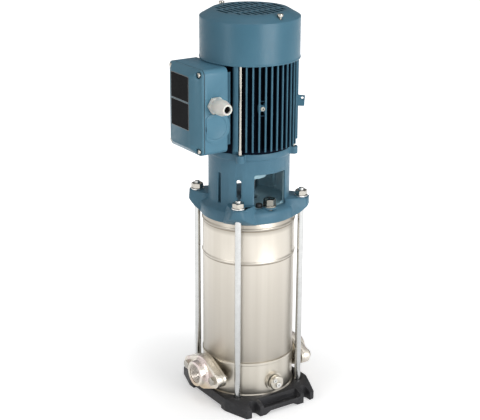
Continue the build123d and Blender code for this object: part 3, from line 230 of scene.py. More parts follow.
# %% A finish and its patterns
class Finish:
    """One material with helpers that add patterns in metres."""

    def __init__(self, name, colour, roughness, metallic=0.0):
        self.material = bpy.data.materials.new(name)
        self.material.use_nodes = True
        self.tree = self.material.node_tree
        self.shader = self.tree.nodes["Principled BSDF"]
        self.colour = colour
        self.last = None
        self.shader.inputs["Base Color"].default_value = (*colour, 1)
        self.shader.inputs["Roughness"].default_value = roughness
        self.shader.inputs["Metallic"].default_value = metallic
        self.place = self.tree.nodes.new("ShaderNodeTexCoord").outputs["Object"]
        self.normal = None

    def node(self, kind, **settings):
        """A new shader node with its settings."""
        made = self.tree.nodes.new(kind)
        for key, value in settings.items():
            setattr(made, key, value)
        return made

    def link(self, start, end):
        """Joins an output to an input."""
        self.tree.links.new(start, end)

    def noise(self, scale, detail, stretch=(1, 1, 1)):
        """Noise whose features are about 1/scale metres long, pulled out along stretch."""
        mapping = self.node("ShaderNodeMapping")
        mapping.inputs["Scale"].default_value = stretch
        self.link(self.place, mapping.inputs["Vector"])
        noise = self.node("ShaderNodeTexNoise")
        noise.inputs["Scale"].default_value = scale
        noise.inputs["Detail"].default_value = detail
        self.link(mapping.outputs[0], noise.inputs["Vector"])
        return noise.outputs["Fac"]

    def spread(self, value, low, high, start=0.35, end=0.65):
        """Takes a pattern from start..end to low..high."""
        span = self.node("ShaderNodeMapRange")
        span.inputs["From Min"].default_value = start
        span.inputs["From Max"].default_value = end
        span.inputs["To Min"].default_value = low
        span.inputs["To Max"].default_value = high
        self.link(value, span.inputs["Value"])
        return span.outputs[0]

    def tint(self, value, other):
        """Mixes the colour so far with another by a pattern from 0 to 1."""
        mix = self.node("ShaderNodeMix", data_type="RGBA")
        mix.inputs["A"].default_value = (*self.colour, 1)
        if self.last is not None:
            self.link(self.last, mix.inputs["A"])
        mix.inputs["B"].default_value = (*other, 1)
        self.link(value, mix.inputs["Factor"])
        self.link(mix.outputs["Result"], self.shader.inputs["Base Color"])
        self.last = mix.outputs["Result"]

    def height(self):
        """The height above the floor in metres."""
        split = self.node("ShaderNodeSeparateXYZ")
        self.link(self.place, split.inputs[0])
        return split.outputs["Z"]

    def band(self, value, centre, half):
        """A soft line: 1 where the value is at centre, 0 from half away."""
        gap = self.node("ShaderNodeMath", operation="SUBTRACT")
        gap.inputs[1].default_value = centre
        self.link(value, gap.inputs[0])
        size = self.node("ShaderNodeMath", operation="ABSOLUTE")
        self.link(gap.outputs[0], size.inputs[0])
        return self.spread(size.outputs[0], 1.0, 0.0, half * 0.2, half)

    def ring_round(self, centre, inner, outer, low, high):
        """High within inner of a point and low beyond outer, the same at its mirror images."""
        return self.spread(self.apart(self.folded(self.place), centre), high, low, inner, outer)

    def flat_place(self):
        """The place with its height set to zero."""
        flat = self.node("ShaderNodeVectorMath", operation="MULTIPLY")
        flat.inputs[1].default_value = (1.0, 1.0, 0.0)
        self.link(self.place, flat.inputs[0])
        return flat.outputs[0]

    def from_shaft(self):
        """The distance from the shaft's axis in metres."""
        length = self.node("ShaderNodeVectorMath", operation="LENGTH")
        self.link(self.flat_place(), length.inputs[0])
        return length.outputs["Value"]

    def folded(self, vector):
        """A vector with its signs dropped, so that four corners become one."""
        fold = self.node("ShaderNodeVectorMath", operation="ABSOLUTE")
        self.link(vector, fold.inputs[0])
        return fold.outputs[0]

    def apart(self, vector, centre):
        """The distance between a vector and a fixed point."""
        gap = self.node("ShaderNodeVectorMath", operation="DISTANCE")
        gap.inputs[1].default_value = centre
        self.link(vector, gap.inputs[0])
        return gap.outputs["Value"]

    def product(self, first, second):
        """Two patterns multiplied."""
        times = self.node("ShaderNodeMath", operation="MULTIPLY")
        self.link(first, times.inputs[0])
        self.link(second, times.inputs[1])
        return times.outputs[0]

    def gloss(self, value, low, high):
        """Sends a pattern into the roughness."""
        self.link(self.spread(value, low, high), self.shader.inputs["Roughness"])

    def relief(self, value, depth):
        """Bumps of about that depth in metres, on top of any before."""
        bump = self.node("ShaderNodeBump")
        bump.inputs["Distance"].default_value = depth
        self.link(value, bump.inputs["Height"])
        if self.normal is not None:
            self.link(self.normal, bump.inputs["Normal"])
        self.normal = bump.outputs[0]
        self.link(self.normal, self.shader.inputs["Normal"])


# %% [markdown]
# ### Paint
# The motor and the lantern are rough castings under a satin blue-grey enamel, so the paint
# shows soft hollows a few millimetres wide. The fan cover and the terminal lid are smooth
# and shine a little more. The foot has a dull dark grey primer on a coarser casting.


# %% Paint finishes
def paint(name, colour, shade, roughness, hollows, grain, coat=0.10):
    """Enamel: colour drifts to shade, hollows of the casting below, orange peel above."""
    finish = Finish(name, colour, roughness)
    finish.tint(finish.spread(finish.noise(22.0, 4.0), 0.0, 1.0), shade)
    finish.gloss(finish.noise(160.0, 2.0), roughness - 0.05, roughness + 0.07)
    finish.relief(finish.noise(240.0, 3.0), hollows)
    finish.relief(finish.noise(1100.0, 2.0), grain)
    finish.shader.inputs["Specular IOR Level"].default_value = 0.18
    finish.shader.inputs["Coat Weight"].default_value = coat
    finish.shader.inputs["Coat Roughness"].default_value = 0.30
    return finish


# The terminal box, the fan cover and the lid take lighter and darker copies of the casting blue:
# painted light and shade, set to how each part is lit.
CASTING_BLUE = ((0.088, 0.200, 0.275), (0.072, 0.172, 0.242))
BOX_BLUE = ((0.098, 0.236, 0.325), (0.088, 0.218, 0.304))
COVER_BLUE = ((0.070, 0.178, 0.248), (0.062, 0.164, 0.232))
LID_BLUE = ((0.090, 0.214, 0.290), (0.078, 0.196, 0.268))
FOOT_GREY = ((0.036, 0.036, 0.039), (0.024, 0.024, 0.026))
HOLLOWS, GRAIN = 0.0004, 0.00008
SMOOTH_HOLLOWS, SMOOTH_GRAIN = 0.00006, 0.00003
enamel_cast = paint("enamel_on_casting", *CASTING_BLUE, 0.42, HOLLOWS, GRAIN).material
enamel_smooth = paint("enamel_on_box", *BOX_BLUE, 0.36, SMOOTH_HOLLOWS, SMOOTH_GRAIN).material
cover_enamel = paint("enamel_on_sheet", *COVER_BLUE, 0.34, SMOOTH_HOLLOWS, SMOOTH_GRAIN).material
lid_enamel = paint("enamel_on_lid", *LID_BLUE, 0.36, SMOOTH_HOLLOWS, SMOOTH_GRAIN).material
foot_primer = paint("dark_grey_foot", *FOOT_GREY, 0.50, 0.0006, 0.00025, 0.12).material
print("paints:", enamel_cast.name, enamel_smooth.name, cover_enamel.name, lid_enamel.name)

# %% [markdown]
# In the photograph a lighter wall shows behind the big window of the lantern, lit by light
# that falls in through it. A painted light, a lighter colour in the chamber, comes closer to
# it. Only points near the shaft, inside the chamber's height and on its front right half get it.

# %% Lantern paint with painted light in the chamber
CHAMBER_LOW, CHAMBER_HIGH, CHAMBER_RADIUS = 0.3290, 0.3900, 0.0635
CHAMBER_PAINTED_LIGHT = (0.460, 0.680, 0.760)
PAINTED_LIGHT_HALF = (0.707, -0.707, 0.0)
lantern = paint("enamel_on_lantern", *CASTING_BLUE, 0.42, HOLLOWS, GRAIN)
near = lantern.spread(lantern.from_shaft(), 1.0, 0.0, CHAMBER_RADIUS - 0.003, CHAMBER_RADIUS)
middle, half = (CHAMBER_LOW + CHAMBER_HIGH) / 2, (CHAMBER_HIGH - CHAMBER_LOW) / 2
level = lantern.spread(lantern.band(lantern.height(), middle, half), 0.0, 1.0, 0.0, 0.15)
along = lantern.node("ShaderNodeVectorMath", operation="DOT_PRODUCT")
along.inputs[1].default_value = PAINTED_LIGHT_HALF
lantern.link(lantern.place, along.inputs[0])
front_right = lantern.spread(along.outputs["Value"], 0.0, 1.0, 0.0, 0.006)
inside = lantern.product(lantern.product(near, level), front_right)
# painted light: a lighter blue on the chamber's wall stands in for light falling through the window
lantern.tint(inside, CHAMBER_PAINTED_LIGHT)
lantern_enamel = lantern.material
print("chamber paint between", CHAMBER_LOW, "and", CHAMBER_HIGH)

# %% [markdown]
# In the photograph the gaps between the cooling fins are nearly black with shade. The distance
# from the shaft says how deep a point lies, so it can mix in a painted shade, and only the tips
# keep the enamel. The pads beside the tie bolts and the rungs at the earthing screw keep their
# full colour, without the painted shade, as in the photograph.

# %% Paint with painted shade between the fins
PAINTED_SHADE_WITHIN, FULL_COLOUR_FROM = 0.0736, 0.0761
BOLT_PAD = (0.0575, 0.0466, 0.0)
EARTH_AT = (-0.0242, -0.0713, 0.4980)
VALLEY_PAINTED_SHADE = (0.001, 0.003, 0.009)
fins = paint("enamel_on_fins", *CASTING_BLUE, 0.50, 0.0003, GRAIN, 0.0)
depth = fins.spread(fins.from_shaft(), 1.0, 0.0, PAINTED_SHADE_WITHIN, FULL_COLOUR_FROM)
from_pad = fins.apart(fins.folded(fins.flat_place()), BOLT_PAD)
from_rungs = fins.apart(fins.place, EARTH_AT)
for gap, clear in ((from_pad, 0.0100), (from_rungs, 0.0085)):
    depth = fins.product(depth, fins.spread(gap, 0.0, 1.0, clear, clear + 0.0012))
# painted shade: a near-black colour mixed in deep between the fins
fins.tint(depth, VALLEY_PAINTED_SHADE)
fins.shader.inputs["Specular IOR Level"].default_value = 0.03
fin_enamel = fins.material
print("fin paint turns dark between", FULL_COLOUR_FROM, "and", PAINTED_SHADE_WITHIN)

# %% [markdown]
# ### Stainless steel
# The jacket is rolled from thin sheet, so its fine grain runs round it, and long faint
# streaks follow the height. A painted shade below its upper rim, where it mirrors the shaded
# underside of the lantern, and a thin painted dark reflection on each bead follow the
# photograph. The casing is pressed sheet with a faint straw tint round the ports. The oval
# flanges have the grain of a blasted casting, with pinkish patches and a golden tone towards
# the bottom. The rods are smooth and bright, the bolts and nuts a darker steel, and the
# washers bright zinc.


# %% Bare metal finishes
def rolled_sheet(name, colour, shade, roughness):
    """Rolled sheet: fine grain across the height and long soft streaks along it."""
    finish = Finish(name, colour, roughness, 1.0)
    streaks = finish.noise(60.0, 3.0, (1, 1, 0.02))
    finish.tint(finish.spread(streaks, 0.0, 1.0), shade)
    finish.gloss(finish.noise(700.0, 2.0, (0.05, 0.05, 3.0)), roughness - 0.03, roughness + 0.03)
    finish.relief(finish.noise(1600.0, 1.0, (0.04, 0.04, 2.0)), 0.000002)
    return finish


jacket_steel = rolled_sheet(
    "rolled_jacket_steel", (0.580, 0.543, 0.484), (0.530, 0.493, 0.434), 0.38
)
pressed_steel = rolled_sheet(
    "pressed_casing_steel", (0.610, 0.575, 0.510), (0.540, 0.505, 0.440), 0.34
)


def blasted(name, colour, shade, roughness, grit):
    """Cast or blasted metal with fine grit and uneven tone."""
    finish = Finish(name, colour, roughness, 1.0)
    finish.tint(finish.spread(finish.noise(90.0, 4.0), 0.0, 1.0), shade)
    finish.gloss(finish.noise(260.0, 2.0), roughness - 0.08, roughness + 0.08)
    finish.relief(finish.noise(1500.0, 2.0), grit)
    return finish


flange_steel = blasted(
    "blasted_flange_steel", (0.740, 0.700, 0.630), (0.680, 0.635, 0.565), 0.33, 0.00005
)
PORT_ROOT = (0.0735, 0.0, 0.0505)
RIM_PAINTED_SHADE, BEAD_PAINTED_LINES = (0.2930, 0.2985), (0.2457, 0.3011)
pink = flange_steel.spread(flange_steel.noise(34.0, 1.0), 0.0, 0.5, 0.5, 0.62)
flange_steel.tint(pink, (0.640, 0.500, 0.520))
# the golden tone is mixed in by height, towards the bottom of each flange
gold = flange_steel.spread(flange_steel.height(), 0.6, 0.0, 0.030, 0.044)
flange_steel.tint(gold, (0.620, 0.450, 0.240))
straw = pressed_steel.ring_round(PORT_ROOT, 0.038, 0.048, 0.0, 0.12)
pressed_steel.tint(straw, (0.400, 0.310, 0.200))
# painted shade below the upper rim, and a painted dark reflection line along each bead
rim = jacket_steel.spread(jacket_steel.height(), 0.0, 0.65, *RIM_PAINTED_SHADE)
jacket_steel.tint(rim, (0.330, 0.300, 0.255))
for painted_line_height in BEAD_PAINTED_LINES:
    line = jacket_steel.band(jacket_steel.height(), painted_line_height, 0.0010)
    jacket_steel.tint(line, (0.200, 0.170, 0.130))
bright_zinc = blasted("bright_zinc", (0.760, 0.760, 0.745), (0.680, 0.680, 0.665), 0.24, 0.00001)
rod_steel = blasted("drawn_rod_steel", (0.520, 0.525, 0.520), (0.480, 0.485, 0.480), 0.17, 0.000002)
bolt_steel = blasted(
    "drawn_bolt_steel", (0.430, 0.410, 0.370), (0.400, 0.380, 0.340), 0.22, 0.000001
)
nut_steel = blasted(
    "stainless_nut_steel", (0.440, 0.420, 0.380), (0.380, 0.360, 0.320), 0.20, 0.000003
)
# painted shade: the fill plug's stainless steel is darkened for the shade in the lantern's chamber;
# the earth screw takes the same darkened steel
plug_steel_painted_shade = blasted("dark_plug_steel", (0.240, 0.235, 0.210), (0.170, 0.165, 0.145), 0.26, 0.00001)
thread_steel = blasted(
    "cut_thread_steel", (0.640, 0.590, 0.540), (0.540, 0.495, 0.450), 0.26, 0.00001
)
shaft_steel = blasted(
    "ground_shaft_steel", (0.520, 0.515, 0.500), (0.440, 0.435, 0.425), 0.30, 0.00001
)
dark_steel = blasted(
    "dark_laminated_steel", (0.180, 0.180, 0.185), (0.120, 0.120, 0.125), 0.50, 0.00004
)
copper = blasted("varnished_copper", (0.420, 0.170, 0.075), (0.330, 0.120, 0.050), 0.45, 0.00020)
print("metals ready")

# %% [markdown]
# ### Plastic, rubber and the rating plates
# The cable gland is off-white nylon, the fan and the vent cap black plastic, seals are
# rubber, and the two rating plates are black anodised foil with a paler edge left bare.


# %% Plastics
def plastic(name, colour, shade, roughness, grain):
    """Moulded or foil surface with a fine grain."""
    finish = Finish(name, colour, roughness)
    finish.tint(finish.spread(finish.noise(45.0, 3.0), 0.0, 1.0), shade)
    finish.gloss(finish.noise(300.0, 2.0), roughness - 0.06, roughness + 0.06)
    finish.relief(finish.noise(1300.0, 2.0), grain)
    return finish


white_nylon = plastic(
    "off_white_nylon", (0.800, 0.785, 0.725), (0.730, 0.710, 0.645), 0.42, 0.00004
)
white_nylon.shader.inputs["Subsurface Weight"].default_value = 0.08
white_nylon.shader.inputs["Subsurface Scale"].default_value = 0.002
black_plastic = plastic(
    "black_plastic", (0.020, 0.020, 0.021), (0.030, 0.030, 0.031), 0.48, 0.00005
)
seal_rubber = plastic("black_rubber", (0.015, 0.015, 0.015), (0.024, 0.024, 0.024), 0.65, 0.00008)
plate_black = plastic(
    "black_rating_foil", (0.004, 0.004, 0.005), (0.007, 0.007, 0.008), 0.42, 0.00001
)
plate_black.shader.inputs["Specular IOR Level"].default_value = 0.03
plate_edge = plastic("pale_foil_edge", (0.200, 0.230, 0.240), (0.160, 0.185, 0.195), 0.30, 0.00001)
ceramic = plastic("grey_seal_ceramic", (0.300, 0.300, 0.290), (0.250, 0.250, 0.245), 0.25, 0.00001)
print("plastics ready")

# %% Give every solid its finish
finish_of_slot = {
    "foot_paint": foot_primer,
    "motor_paint": enamel_cast,
    "cover_paint": enamel_smooth,
    "jacket_steel": jacket_steel.material,
    "stainless": pressed_steel.material,
    "flange_steel": flange_steel.material,
    "bright_steel": bright_zinc.material,
    "shaft_steel": shaft_steel.material,
    "core_steel": dark_steel.material,
    "copper_winding": copper.material,
    "seal_rubber": seal_rubber.material,
    "gasket_grey": seal_rubber.material,
    "ceramic_grey": ceramic.material,
    "black_plastic": black_plastic.material,
    "white_plastic": white_nylon.material,
}
slot_of_node = {part["node"]: part["material_slot"] for part in frame["record"]["subparts"]}
for name, solid in nodes.items():
    solid.data.materials.clear()
    solid.data.materials.append(finish_of_slot[slot_of_node[name]])
nodes["motor_tie_bolts"].data.materials[0] = bolt_steel.material
nodes["earth_screw"].data.materials[0] = plug_steel_painted_shade.material
print("dressed:", len(nodes))

# %% [markdown]
# ## Rounded edges
# No casting or moulding has a knife edge: light catches a small radius and draws a bright
# line along it. A bevel on a finished solid gives that line. The solid comes as loose
# triangles, so a copy is merged, flat areas are dissolved into single faces, and only edges
# sharper than a set angle are bevelled. The copy then stands for the solid.

# %% Soften a solid's edges
SHARP = math.radians(35)
FLAT = math.radians(0.5)


def add_object(name, mesh, body, finish, replaced=()):
    """Turns a bmesh into a piece that rides on a body and may stand for solids."""
    data = bpy.data.meshes.new(name)
    mesh.to_mesh(data)
    mesh.free()
    data.polygons.foreach_set("use_smooth", [True] * len(data.polygons))
    data.set_sharp_from_angle(angle=SHARP)
    piece = bpy.data.objects.new(name, data)
    bpy.context.scene.collection.objects.link(piece)
    data.materials.append(finish)
    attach(piece, body)
    if replaced:
        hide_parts(*replaced)
    return piece


def merged_copy(node, flat=True):
    """Copy of a solid's mesh with shared corners and, if asked, whole flat faces."""
    mesh = bmesh.new()
    mesh.from_mesh(nodes[node].data)
    bmesh.ops.remove_doubles(mesh, verts=mesh.verts, dist=2e-6)
    if flat:
        bmesh.ops.dissolve_limit(mesh, angle_limit=FLAT, verts=mesh.verts, edges=mesh.edges)
    return mesh


def soften(node, width, finish, keep=None):
    """Bevels a copy's sharp edges, apart from those that keep() names, and sets it in place."""
    mesh = merged_copy(node, flat=keep is None)
    edges = [e for e in mesh.edges if e.is_manifold and e.calc_face_angle() > SHARP]
    if keep is not None:
        edges = [e for e in edges if not keep((e.verts[0].co + e.verts[1].co) / 2)]
    bmesh.ops.bevel(
        mesh,
        geom=edges,
        offset=width,
        offset_type="OFFSET",
        affect="EDGES",
        segments=2,
        profile=0.5,
        material=-1,
        clamp_overlap=False,
        miter_outer="ARC",
    )
    bmesh.ops.remove_doubles(mesh, verts=mesh.verts, dist=2e-6)
    piece = add_object(node + "_soft", mesh, "pump", finish, [node])
    print(piece.name, len(piece.data.polygons), "faces")
    return piece


# %% [markdown]
# ## Turned shapes
# The jacket, the rods, the washers and the fill plug are turned or rolled, so a profile spun
# round an axis describes them best. The profile holds only the few points that a workshop
# drawing would give. `copies` repeats a finished part at several places in one mesh.


# %% Spin a profile, repeat a part
def lathe(profile, segments, closed=False):
    """Spins (radius, height) points in metres round Z."""
    mesh = bmesh.new()
    corners = [mesh.verts.new((radius, 0, height)) for radius, height in profile]
    pairs = list(zip(corners, corners[1:]))
    if closed:
        pairs.append((corners[-1], corners[0]))
    line = [mesh.edges.new(pair) for pair in pairs]
    bmesh.ops.spin(
        mesh,
        geom=corners + line,
        cent=(0, 0, 0),
        axis=(0, 0, 1),
        angle=2 * math.pi,
        steps=segments,
        use_merge=True,
    )
    bmesh.ops.remove_doubles(mesh, verts=mesh.verts, dist=1e-6)
    bmesh.ops.recalc_face_normals(mesh, faces=mesh.faces)
    return mesh


def copies(part, places):
    """One mesh with a part at each place, given as a matrix."""
    shape = bpy.data.meshes.new("shape")
    part.to_mesh(shape)
    part.free()
    whole = bmesh.new()
    for place in places:
        moved = shape.copy()
        moved.transform(place)
        whole.from_mesh(moved)
        bpy.data.meshes.remove(moved)
    bpy.data.meshes.remove(shape)
    return whole


def joined(*parts):
    """Several meshes as one."""
    whole = bmesh.new()
    for part in parts:
        shape = bpy.data.meshes.new("shape")
        part.to_mesh(shape)
        part.free()
        whole.from_mesh(shape)
        bpy.data.meshes.remove(shape)
    return whole


# %% [markdown]
# ### Outer jacket
# Thin rolled sheet with two beads near its upper end. A bead is a soft wave about six
# millimetres wide, so its profile follows a cosine. The sheet is a closed loop of outside
# and inside points, which gives it its real wall.

# %% Jacket
JACKET_RADIUS, JACKET_WALL = 0.07345, 0.0015
BEADS_UP, BEAD_HEIGHT, BEAD_HALF = (0.1722, 0.2276), 0.0015, 0.0032
jacket_low, jacket_high = (corner.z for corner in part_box("outer_jacket"))
outside = [(JACKET_RADIUS - 0.0004, jacket_low), (JACKET_RADIUS, jacket_low + 0.0006)]
for up in BEADS_UP:
    for step in range(-5, 6):
        wave = 0.5 + 0.5 * math.cos(math.pi * step / 5)
        bead = (JACKET_RADIUS + BEAD_HEIGHT * wave, jacket_low + up + BEAD_HALF * step / 5)
        outside.append(bead)
outside += [(JACKET_RADIUS, jacket_high - 0.0006), (JACKET_RADIUS - 0.0004, jacket_high)]
inside = [(radius - JACKET_WALL, height) for radius, height in reversed(outside)]
jacket = add_object(
    "jacket", lathe(outside + inside, 160, closed=True),
    "pump", jacket_steel.material, ["outer_jacket"]
)
print("jacket faces:", len(jacket.data.polygons))

# %% [markdown]
# ### Threads
# A thread is one tooth swept round the axis while it climbs one pitch each turn. The spin
# operator does exactly that when it is given a step along the axis. Flat cuts trim the
# ragged start and end, and the holes that they leave are filled.


# %% Screw thread
def thread(crest, root, pitch, low, high, steps=20):
    """Closed threaded bar between two heights."""
    mesh = bmesh.new()
    turns = math.ceil((high - low) / pitch) + 2
    tooth = ((root, 0), (crest, 0.40), (crest, 0.52), (root, 0.92), (root, 1))
    corners = [mesh.verts.new((radius, 0, low - pitch + part * pitch)) for radius, part in tooth]
    line = [mesh.edges.new(pair) for pair in zip(corners, corners[1:])]
    bmesh.ops.spin(
        mesh,
        geom=corners + line,
        cent=(0, 0, 0),
        axis=(0, 0, 1),
        dvec=(0, 0, pitch / steps),
        angle=2 * math.pi * turns,
        steps=steps * turns,
    )
    bmesh.ops.remove_doubles(mesh, verts=mesh.verts, dist=pitch / 100)
    for height, normal in ((low, (0, 0, -1)), (high, (0, 0, 1))):
        geometry = mesh.verts[:] + mesh.edges[:] + mesh.faces[:]
        cut = bmesh.ops.bisect_plane(
            mesh, geom=geometry, plane_co=(0, 0, height), plane_no=normal, clear_outer=True
        )
        rim = [e for e in cut["geom_cut"] if isinstance(e, bmesh.types.BMEdge)]
        bmesh.ops.contextual_create(mesh, geom=rim)
    bmesh.ops.recalc_face_normals(mesh, faces=mesh.faces)
    return mesh


# %% [markdown]
# ### Hexagons
# The corners of a nut are turned off at thirty degrees, which leaves a curved edge on each
# flat. The way the workshop makes it works here too: a turned ring with a conical chamfer
# is cut by six planes.


# %% Hexagon nut or head
CHAMFER = math.tan(math.radians(30))


def hexagon(flats, height, bore=0.0, chamfers=(True, True)):
    """Nut or bolt head from z = 0 to height, with chamfers below and above."""
    corner = flats / math.sqrt(3) * 1.02
    flat_edge = 0.475 * flats
    drop = (corner - flat_edge) * CHAMFER
    lead = min(0.0006, height / 8) if bore else 0.0
    outline = [(bore + lead, 0.0)]
    outline += [(flat_edge, 0.0), (corner, drop)] if chamfers[0] else [(corner, 0.0)]
    outline += [(corner, height - drop), (flat_edge, height)] if chamfers[1] else [(corner, height)]
    outline.append((bore + lead, height))
    if bore:
        outline += [(bore, height - lead), (bore, lead)]
    mesh = lathe(outline, 48, closed=bool(bore))
    for side in range(6):
        normal = Vector((math.cos(side * math.pi / 3), math.sin(side * math.pi / 3), 0))
        geometry = mesh.verts[:] + mesh.edges[:] + mesh.faces[:]
        cut = bmesh.ops.bisect_plane(
            mesh, geom=geometry, plane_co=normal * flats / 2, plane_no=normal, clear_outer=True
        )
        rim = [e for e in cut["geom_cut"] if isinstance(e, bmesh.types.BMEdge)]
        bmesh.ops.contextual_create(mesh, geom=rim)
    bmesh.ops.recalc_face_normals(mesh, faces=mesh.faces)
    return mesh


# %% [markdown]
# ### Tie rods and their nuts
# Four plain rods carry the clamping force. Only the last few millimetres above each nut show
# their thread, under a domed end, and each nut stands on a thin washer.

# %% Rods, washers and nuts
ROD_AT = 0.0594
ROD_RADIUS, ROD_PITCH, ROD_PLAIN_END = 0.005, 0.0015, 0.3515
ROD_NUT_FLATS, ROD_NUT_LOW, ROD_NUT_HEIGHT = 0.017, 0.345, 0.008
WASHER_BORE, WASHER_EDGE, WASHER_LOW = 0.0053, 0.01045, 0.3431
rod_places = [Matrix.Translation((x * ROD_AT, y * ROD_AT, 0)) for x in (-1, 1) for y in (-1, 1)]


def rod_end(radius, low, high):
    """Threaded end of a bar with a domed tip."""
    screw = thread(radius - 0.00002, radius * 0.87, ROD_PITCH, low, high - 0.0022)
    dome = lathe([(0, high - 0.0026), (radius * 0.9, high - 0.0026), (radius * 0.86, high - 0.0014),
                  (radius * 0.68, high - 0.0006), (radius * 0.38, high - 0.0001), (0, high)], 32)
    return joined(screw, dome)


rod_low, rod_high = (corner.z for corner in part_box("tie_rods"))
rod = lathe([
    (0, rod_low), (ROD_RADIUS - 0.0004, rod_low), (ROD_RADIUS, rod_low + 0.0004),
    (ROD_RADIUS, ROD_PLAIN_END), (0, ROD_PLAIN_END),
], 48)
rods = add_object(
    "rods", copies(joined(rod, rod_end(ROD_RADIUS, ROD_PLAIN_END - 0.0003, rod_high)), rod_places),
    "pump", rod_steel.material, ["tie_rods"]
)
washer = lathe([
    (WASHER_BORE, WASHER_LOW), (WASHER_EDGE - 0.00025, WASHER_LOW),
    (WASHER_EDGE, WASHER_LOW + 0.0003), (WASHER_EDGE, ROD_NUT_LOW - 0.0003),
    (WASHER_EDGE - 0.00025, ROD_NUT_LOW), (WASHER_BORE, ROD_NUT_LOW),
], 48, closed=True)
washers = add_object(
    "washers", copies(washer, rod_places),
    "pump", bright_zinc.material, ["rod_washers"]
)
nut = hexagon(ROD_NUT_FLATS, ROD_NUT_HEIGHT, bore=ROD_RADIUS + 0.0001)
NUT_TURNS = (0.35, 0.9, 0.1, 0.62)
nut_places = [place @ Matrix.Translation((0, 0, ROD_NUT_LOW)) @ Matrix.Rotation(turn, 4, "Z")
              for place, turn in zip(rod_places, NUT_TURNS)]
nuts = add_object(
    "nuts", copies(nut, nut_places), "pump", nut_steel.material, ["rod_nuts"]
)
print("rods, washers, nuts:", [len(piece.data.polygons) for piece in (rods, washers, nuts)])

# %% [markdown]
# ### Flange bolts and port threads
# Each oval flange is held by two bolts whose heads face the pipe. Inside the hub a pipe
# thread waits for the pipe: eleven turns to the inch. The thread is a triangular coil that
# lies against the bore.

# %% Bolts of the flanges
PORT_HEIGHT = 0.0505
BOLT_AT, BOLT_FLATS, BOLT_RADIUS, BOLT_LOW = 0.038, 0.013, 0.004, 0.0675
HEAD_HEIGHT, NUT_HEIGHT = 0.0055, 0.0045
bolt_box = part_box("flange_bolts")
nut_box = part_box("flange_nuts")
reach = bolt_box[1].x
head = Matrix.Translation((0, 0, reach - HEAD_HEIGHT))


def facing(side, y):
    """Axis Z of a part turned to point outwards through a port flange."""
    return Matrix.Translation((0, y, PORT_HEIGHT)) @ Matrix.Rotation(side * math.pi / 2, 4, "Y")


bolt_places = [facing(side, y) for side in (-1, 1) for y in (-BOLT_AT, BOLT_AT)]
half_flat = Matrix.Rotation(math.pi / 6, 4, "Z")
bolt_head = copies(hexagon(BOLT_FLATS, HEAD_HEIGHT, chamfers=(False, True)), [head @ half_flat])
shank = lathe([
    (0, BOLT_LOW), (BOLT_RADIUS - 0.0006, BOLT_LOW), (BOLT_RADIUS, BOLT_LOW + 0.0007),
    (BOLT_RADIUS, reach - 0.005), (0, reach - 0.005),
], 32)
flange_bolts = add_object(
    "flange_bolt_set", copies(joined(bolt_head, shank), bolt_places),
    "pump", nut_steel.material, ["flange_bolts"]
)
nut_at = Matrix.Translation((0, 0, nut_box[1].x - NUT_HEIGHT))
thin_nut = hexagon(BOLT_FLATS, NUT_HEIGHT, bore=BOLT_RADIUS + 0.0001)
flange_nuts = add_object(
    "flange_nut_set", copies(copies(thin_nut, [nut_at @ half_flat]), bolt_places),
    "pump", nut_steel.material, ["flange_nuts"]
)
print("bolts and nuts:", len(flange_bolts.data.polygons), len(flange_nuts.data.polygons))


# %% Pipe threads
def coil(crest, root, pitch, low, high, steps=36):
    """Closed triangular ridge wound against the inside of a bore."""
    mesh = bmesh.new()
    corners = [mesh.verts.new(point) for point in (
        (root + 0.0002, 0, low), (crest, 0, low + pitch * 0.42), (crest, 0, low + pitch * 0.52),
        (root + 0.0002, 0, low + pitch * 0.94),
    )]
    line = [mesh.edges.new((corners[place], corners[place - 1])) for place in range(4)]
    turns = (high - low) / pitch - 1
    bmesh.ops.spin(
        mesh, geom=corners + line, cent=(0, 0, 0), axis=(0, 0, 1), dvec=(0, 0, pitch / steps),
        angle=2 * math.pi * turns, steps=round(steps * turns),
    )
    rim = [e for e in mesh.edges if e.is_boundary]
    bmesh.ops.holes_fill(mesh, edges=rim)
    bmesh.ops.recalc_face_normals(mesh, faces=mesh.faces)
    return mesh


PIPE_CREST, PIPE_ROOT, PIPE_PITCH = 0.01475, 0.0156, 0.002309
PIPE_IN, PIPE_OUT = 0.0868, 0.1035
port_thread = coil(PIPE_CREST, PIPE_ROOT, PIPE_PITCH, PIPE_IN, PIPE_OUT)
port_threads = add_object(
    "port_threads", copies(port_thread, [facing(-1, 0), facing(1, 0)]),
    "pump", thread_steel.material
)
print("port threads:", len(port_threads.data.polygons))

# %% [markdown]
# ### Fill plug
# A hexagon on a collar, seen through the window of the lantern. Its corners are turned off
# like those of the nuts.

# %% Fill plug
FILL_AT, FILL_LOW = (-0.005, -0.065), 0.3385
FILL_FLATS, FILL_HEIGHT, COLLAR, COLLAR_HEIGHT = 0.017, 0.01, 0.0105, 0.003
collar_top = FILL_LOW + COLLAR_HEIGHT
fill_body = lathe([
    (0, FILL_LOW - 0.008), (0.0062, FILL_LOW - 0.008), (0.0064, FILL_LOW),
    (COLLAR - 0.0003, FILL_LOW), (COLLAR, FILL_LOW + 0.0004), (COLLAR, collar_top - 0.0006),
    (COLLAR - 0.0006, collar_top), (0, collar_top),
], 64)
fill_hexagon = copies(
    hexagon(FILL_FLATS, FILL_HEIGHT, chamfers=(False, True)),
    [Matrix.Translation((0, 0, collar_top))]
)
fill_plug = copies(joined(fill_body, fill_hexagon), [Matrix.Translation((*FILL_AT, 0))])
fill = add_object(
    "fill_plug_turned", fill_plug, "pump", plug_steel_painted_shade.material, ["fill_plug"]
)
print("fill plug:", len(fill.data.polygons))

# %% [markdown]
# ### Castings, covers and small parts
# The castings get the widest rounding, apart from the motor frame with its thin fins. The
# pressed and moulded parts get a narrow one. The bars of the grille on the fan cover keep
# their sharp edges.


# %% Soften what is cast, pressed or moulded
GRILLE_RADIUS = 0.066


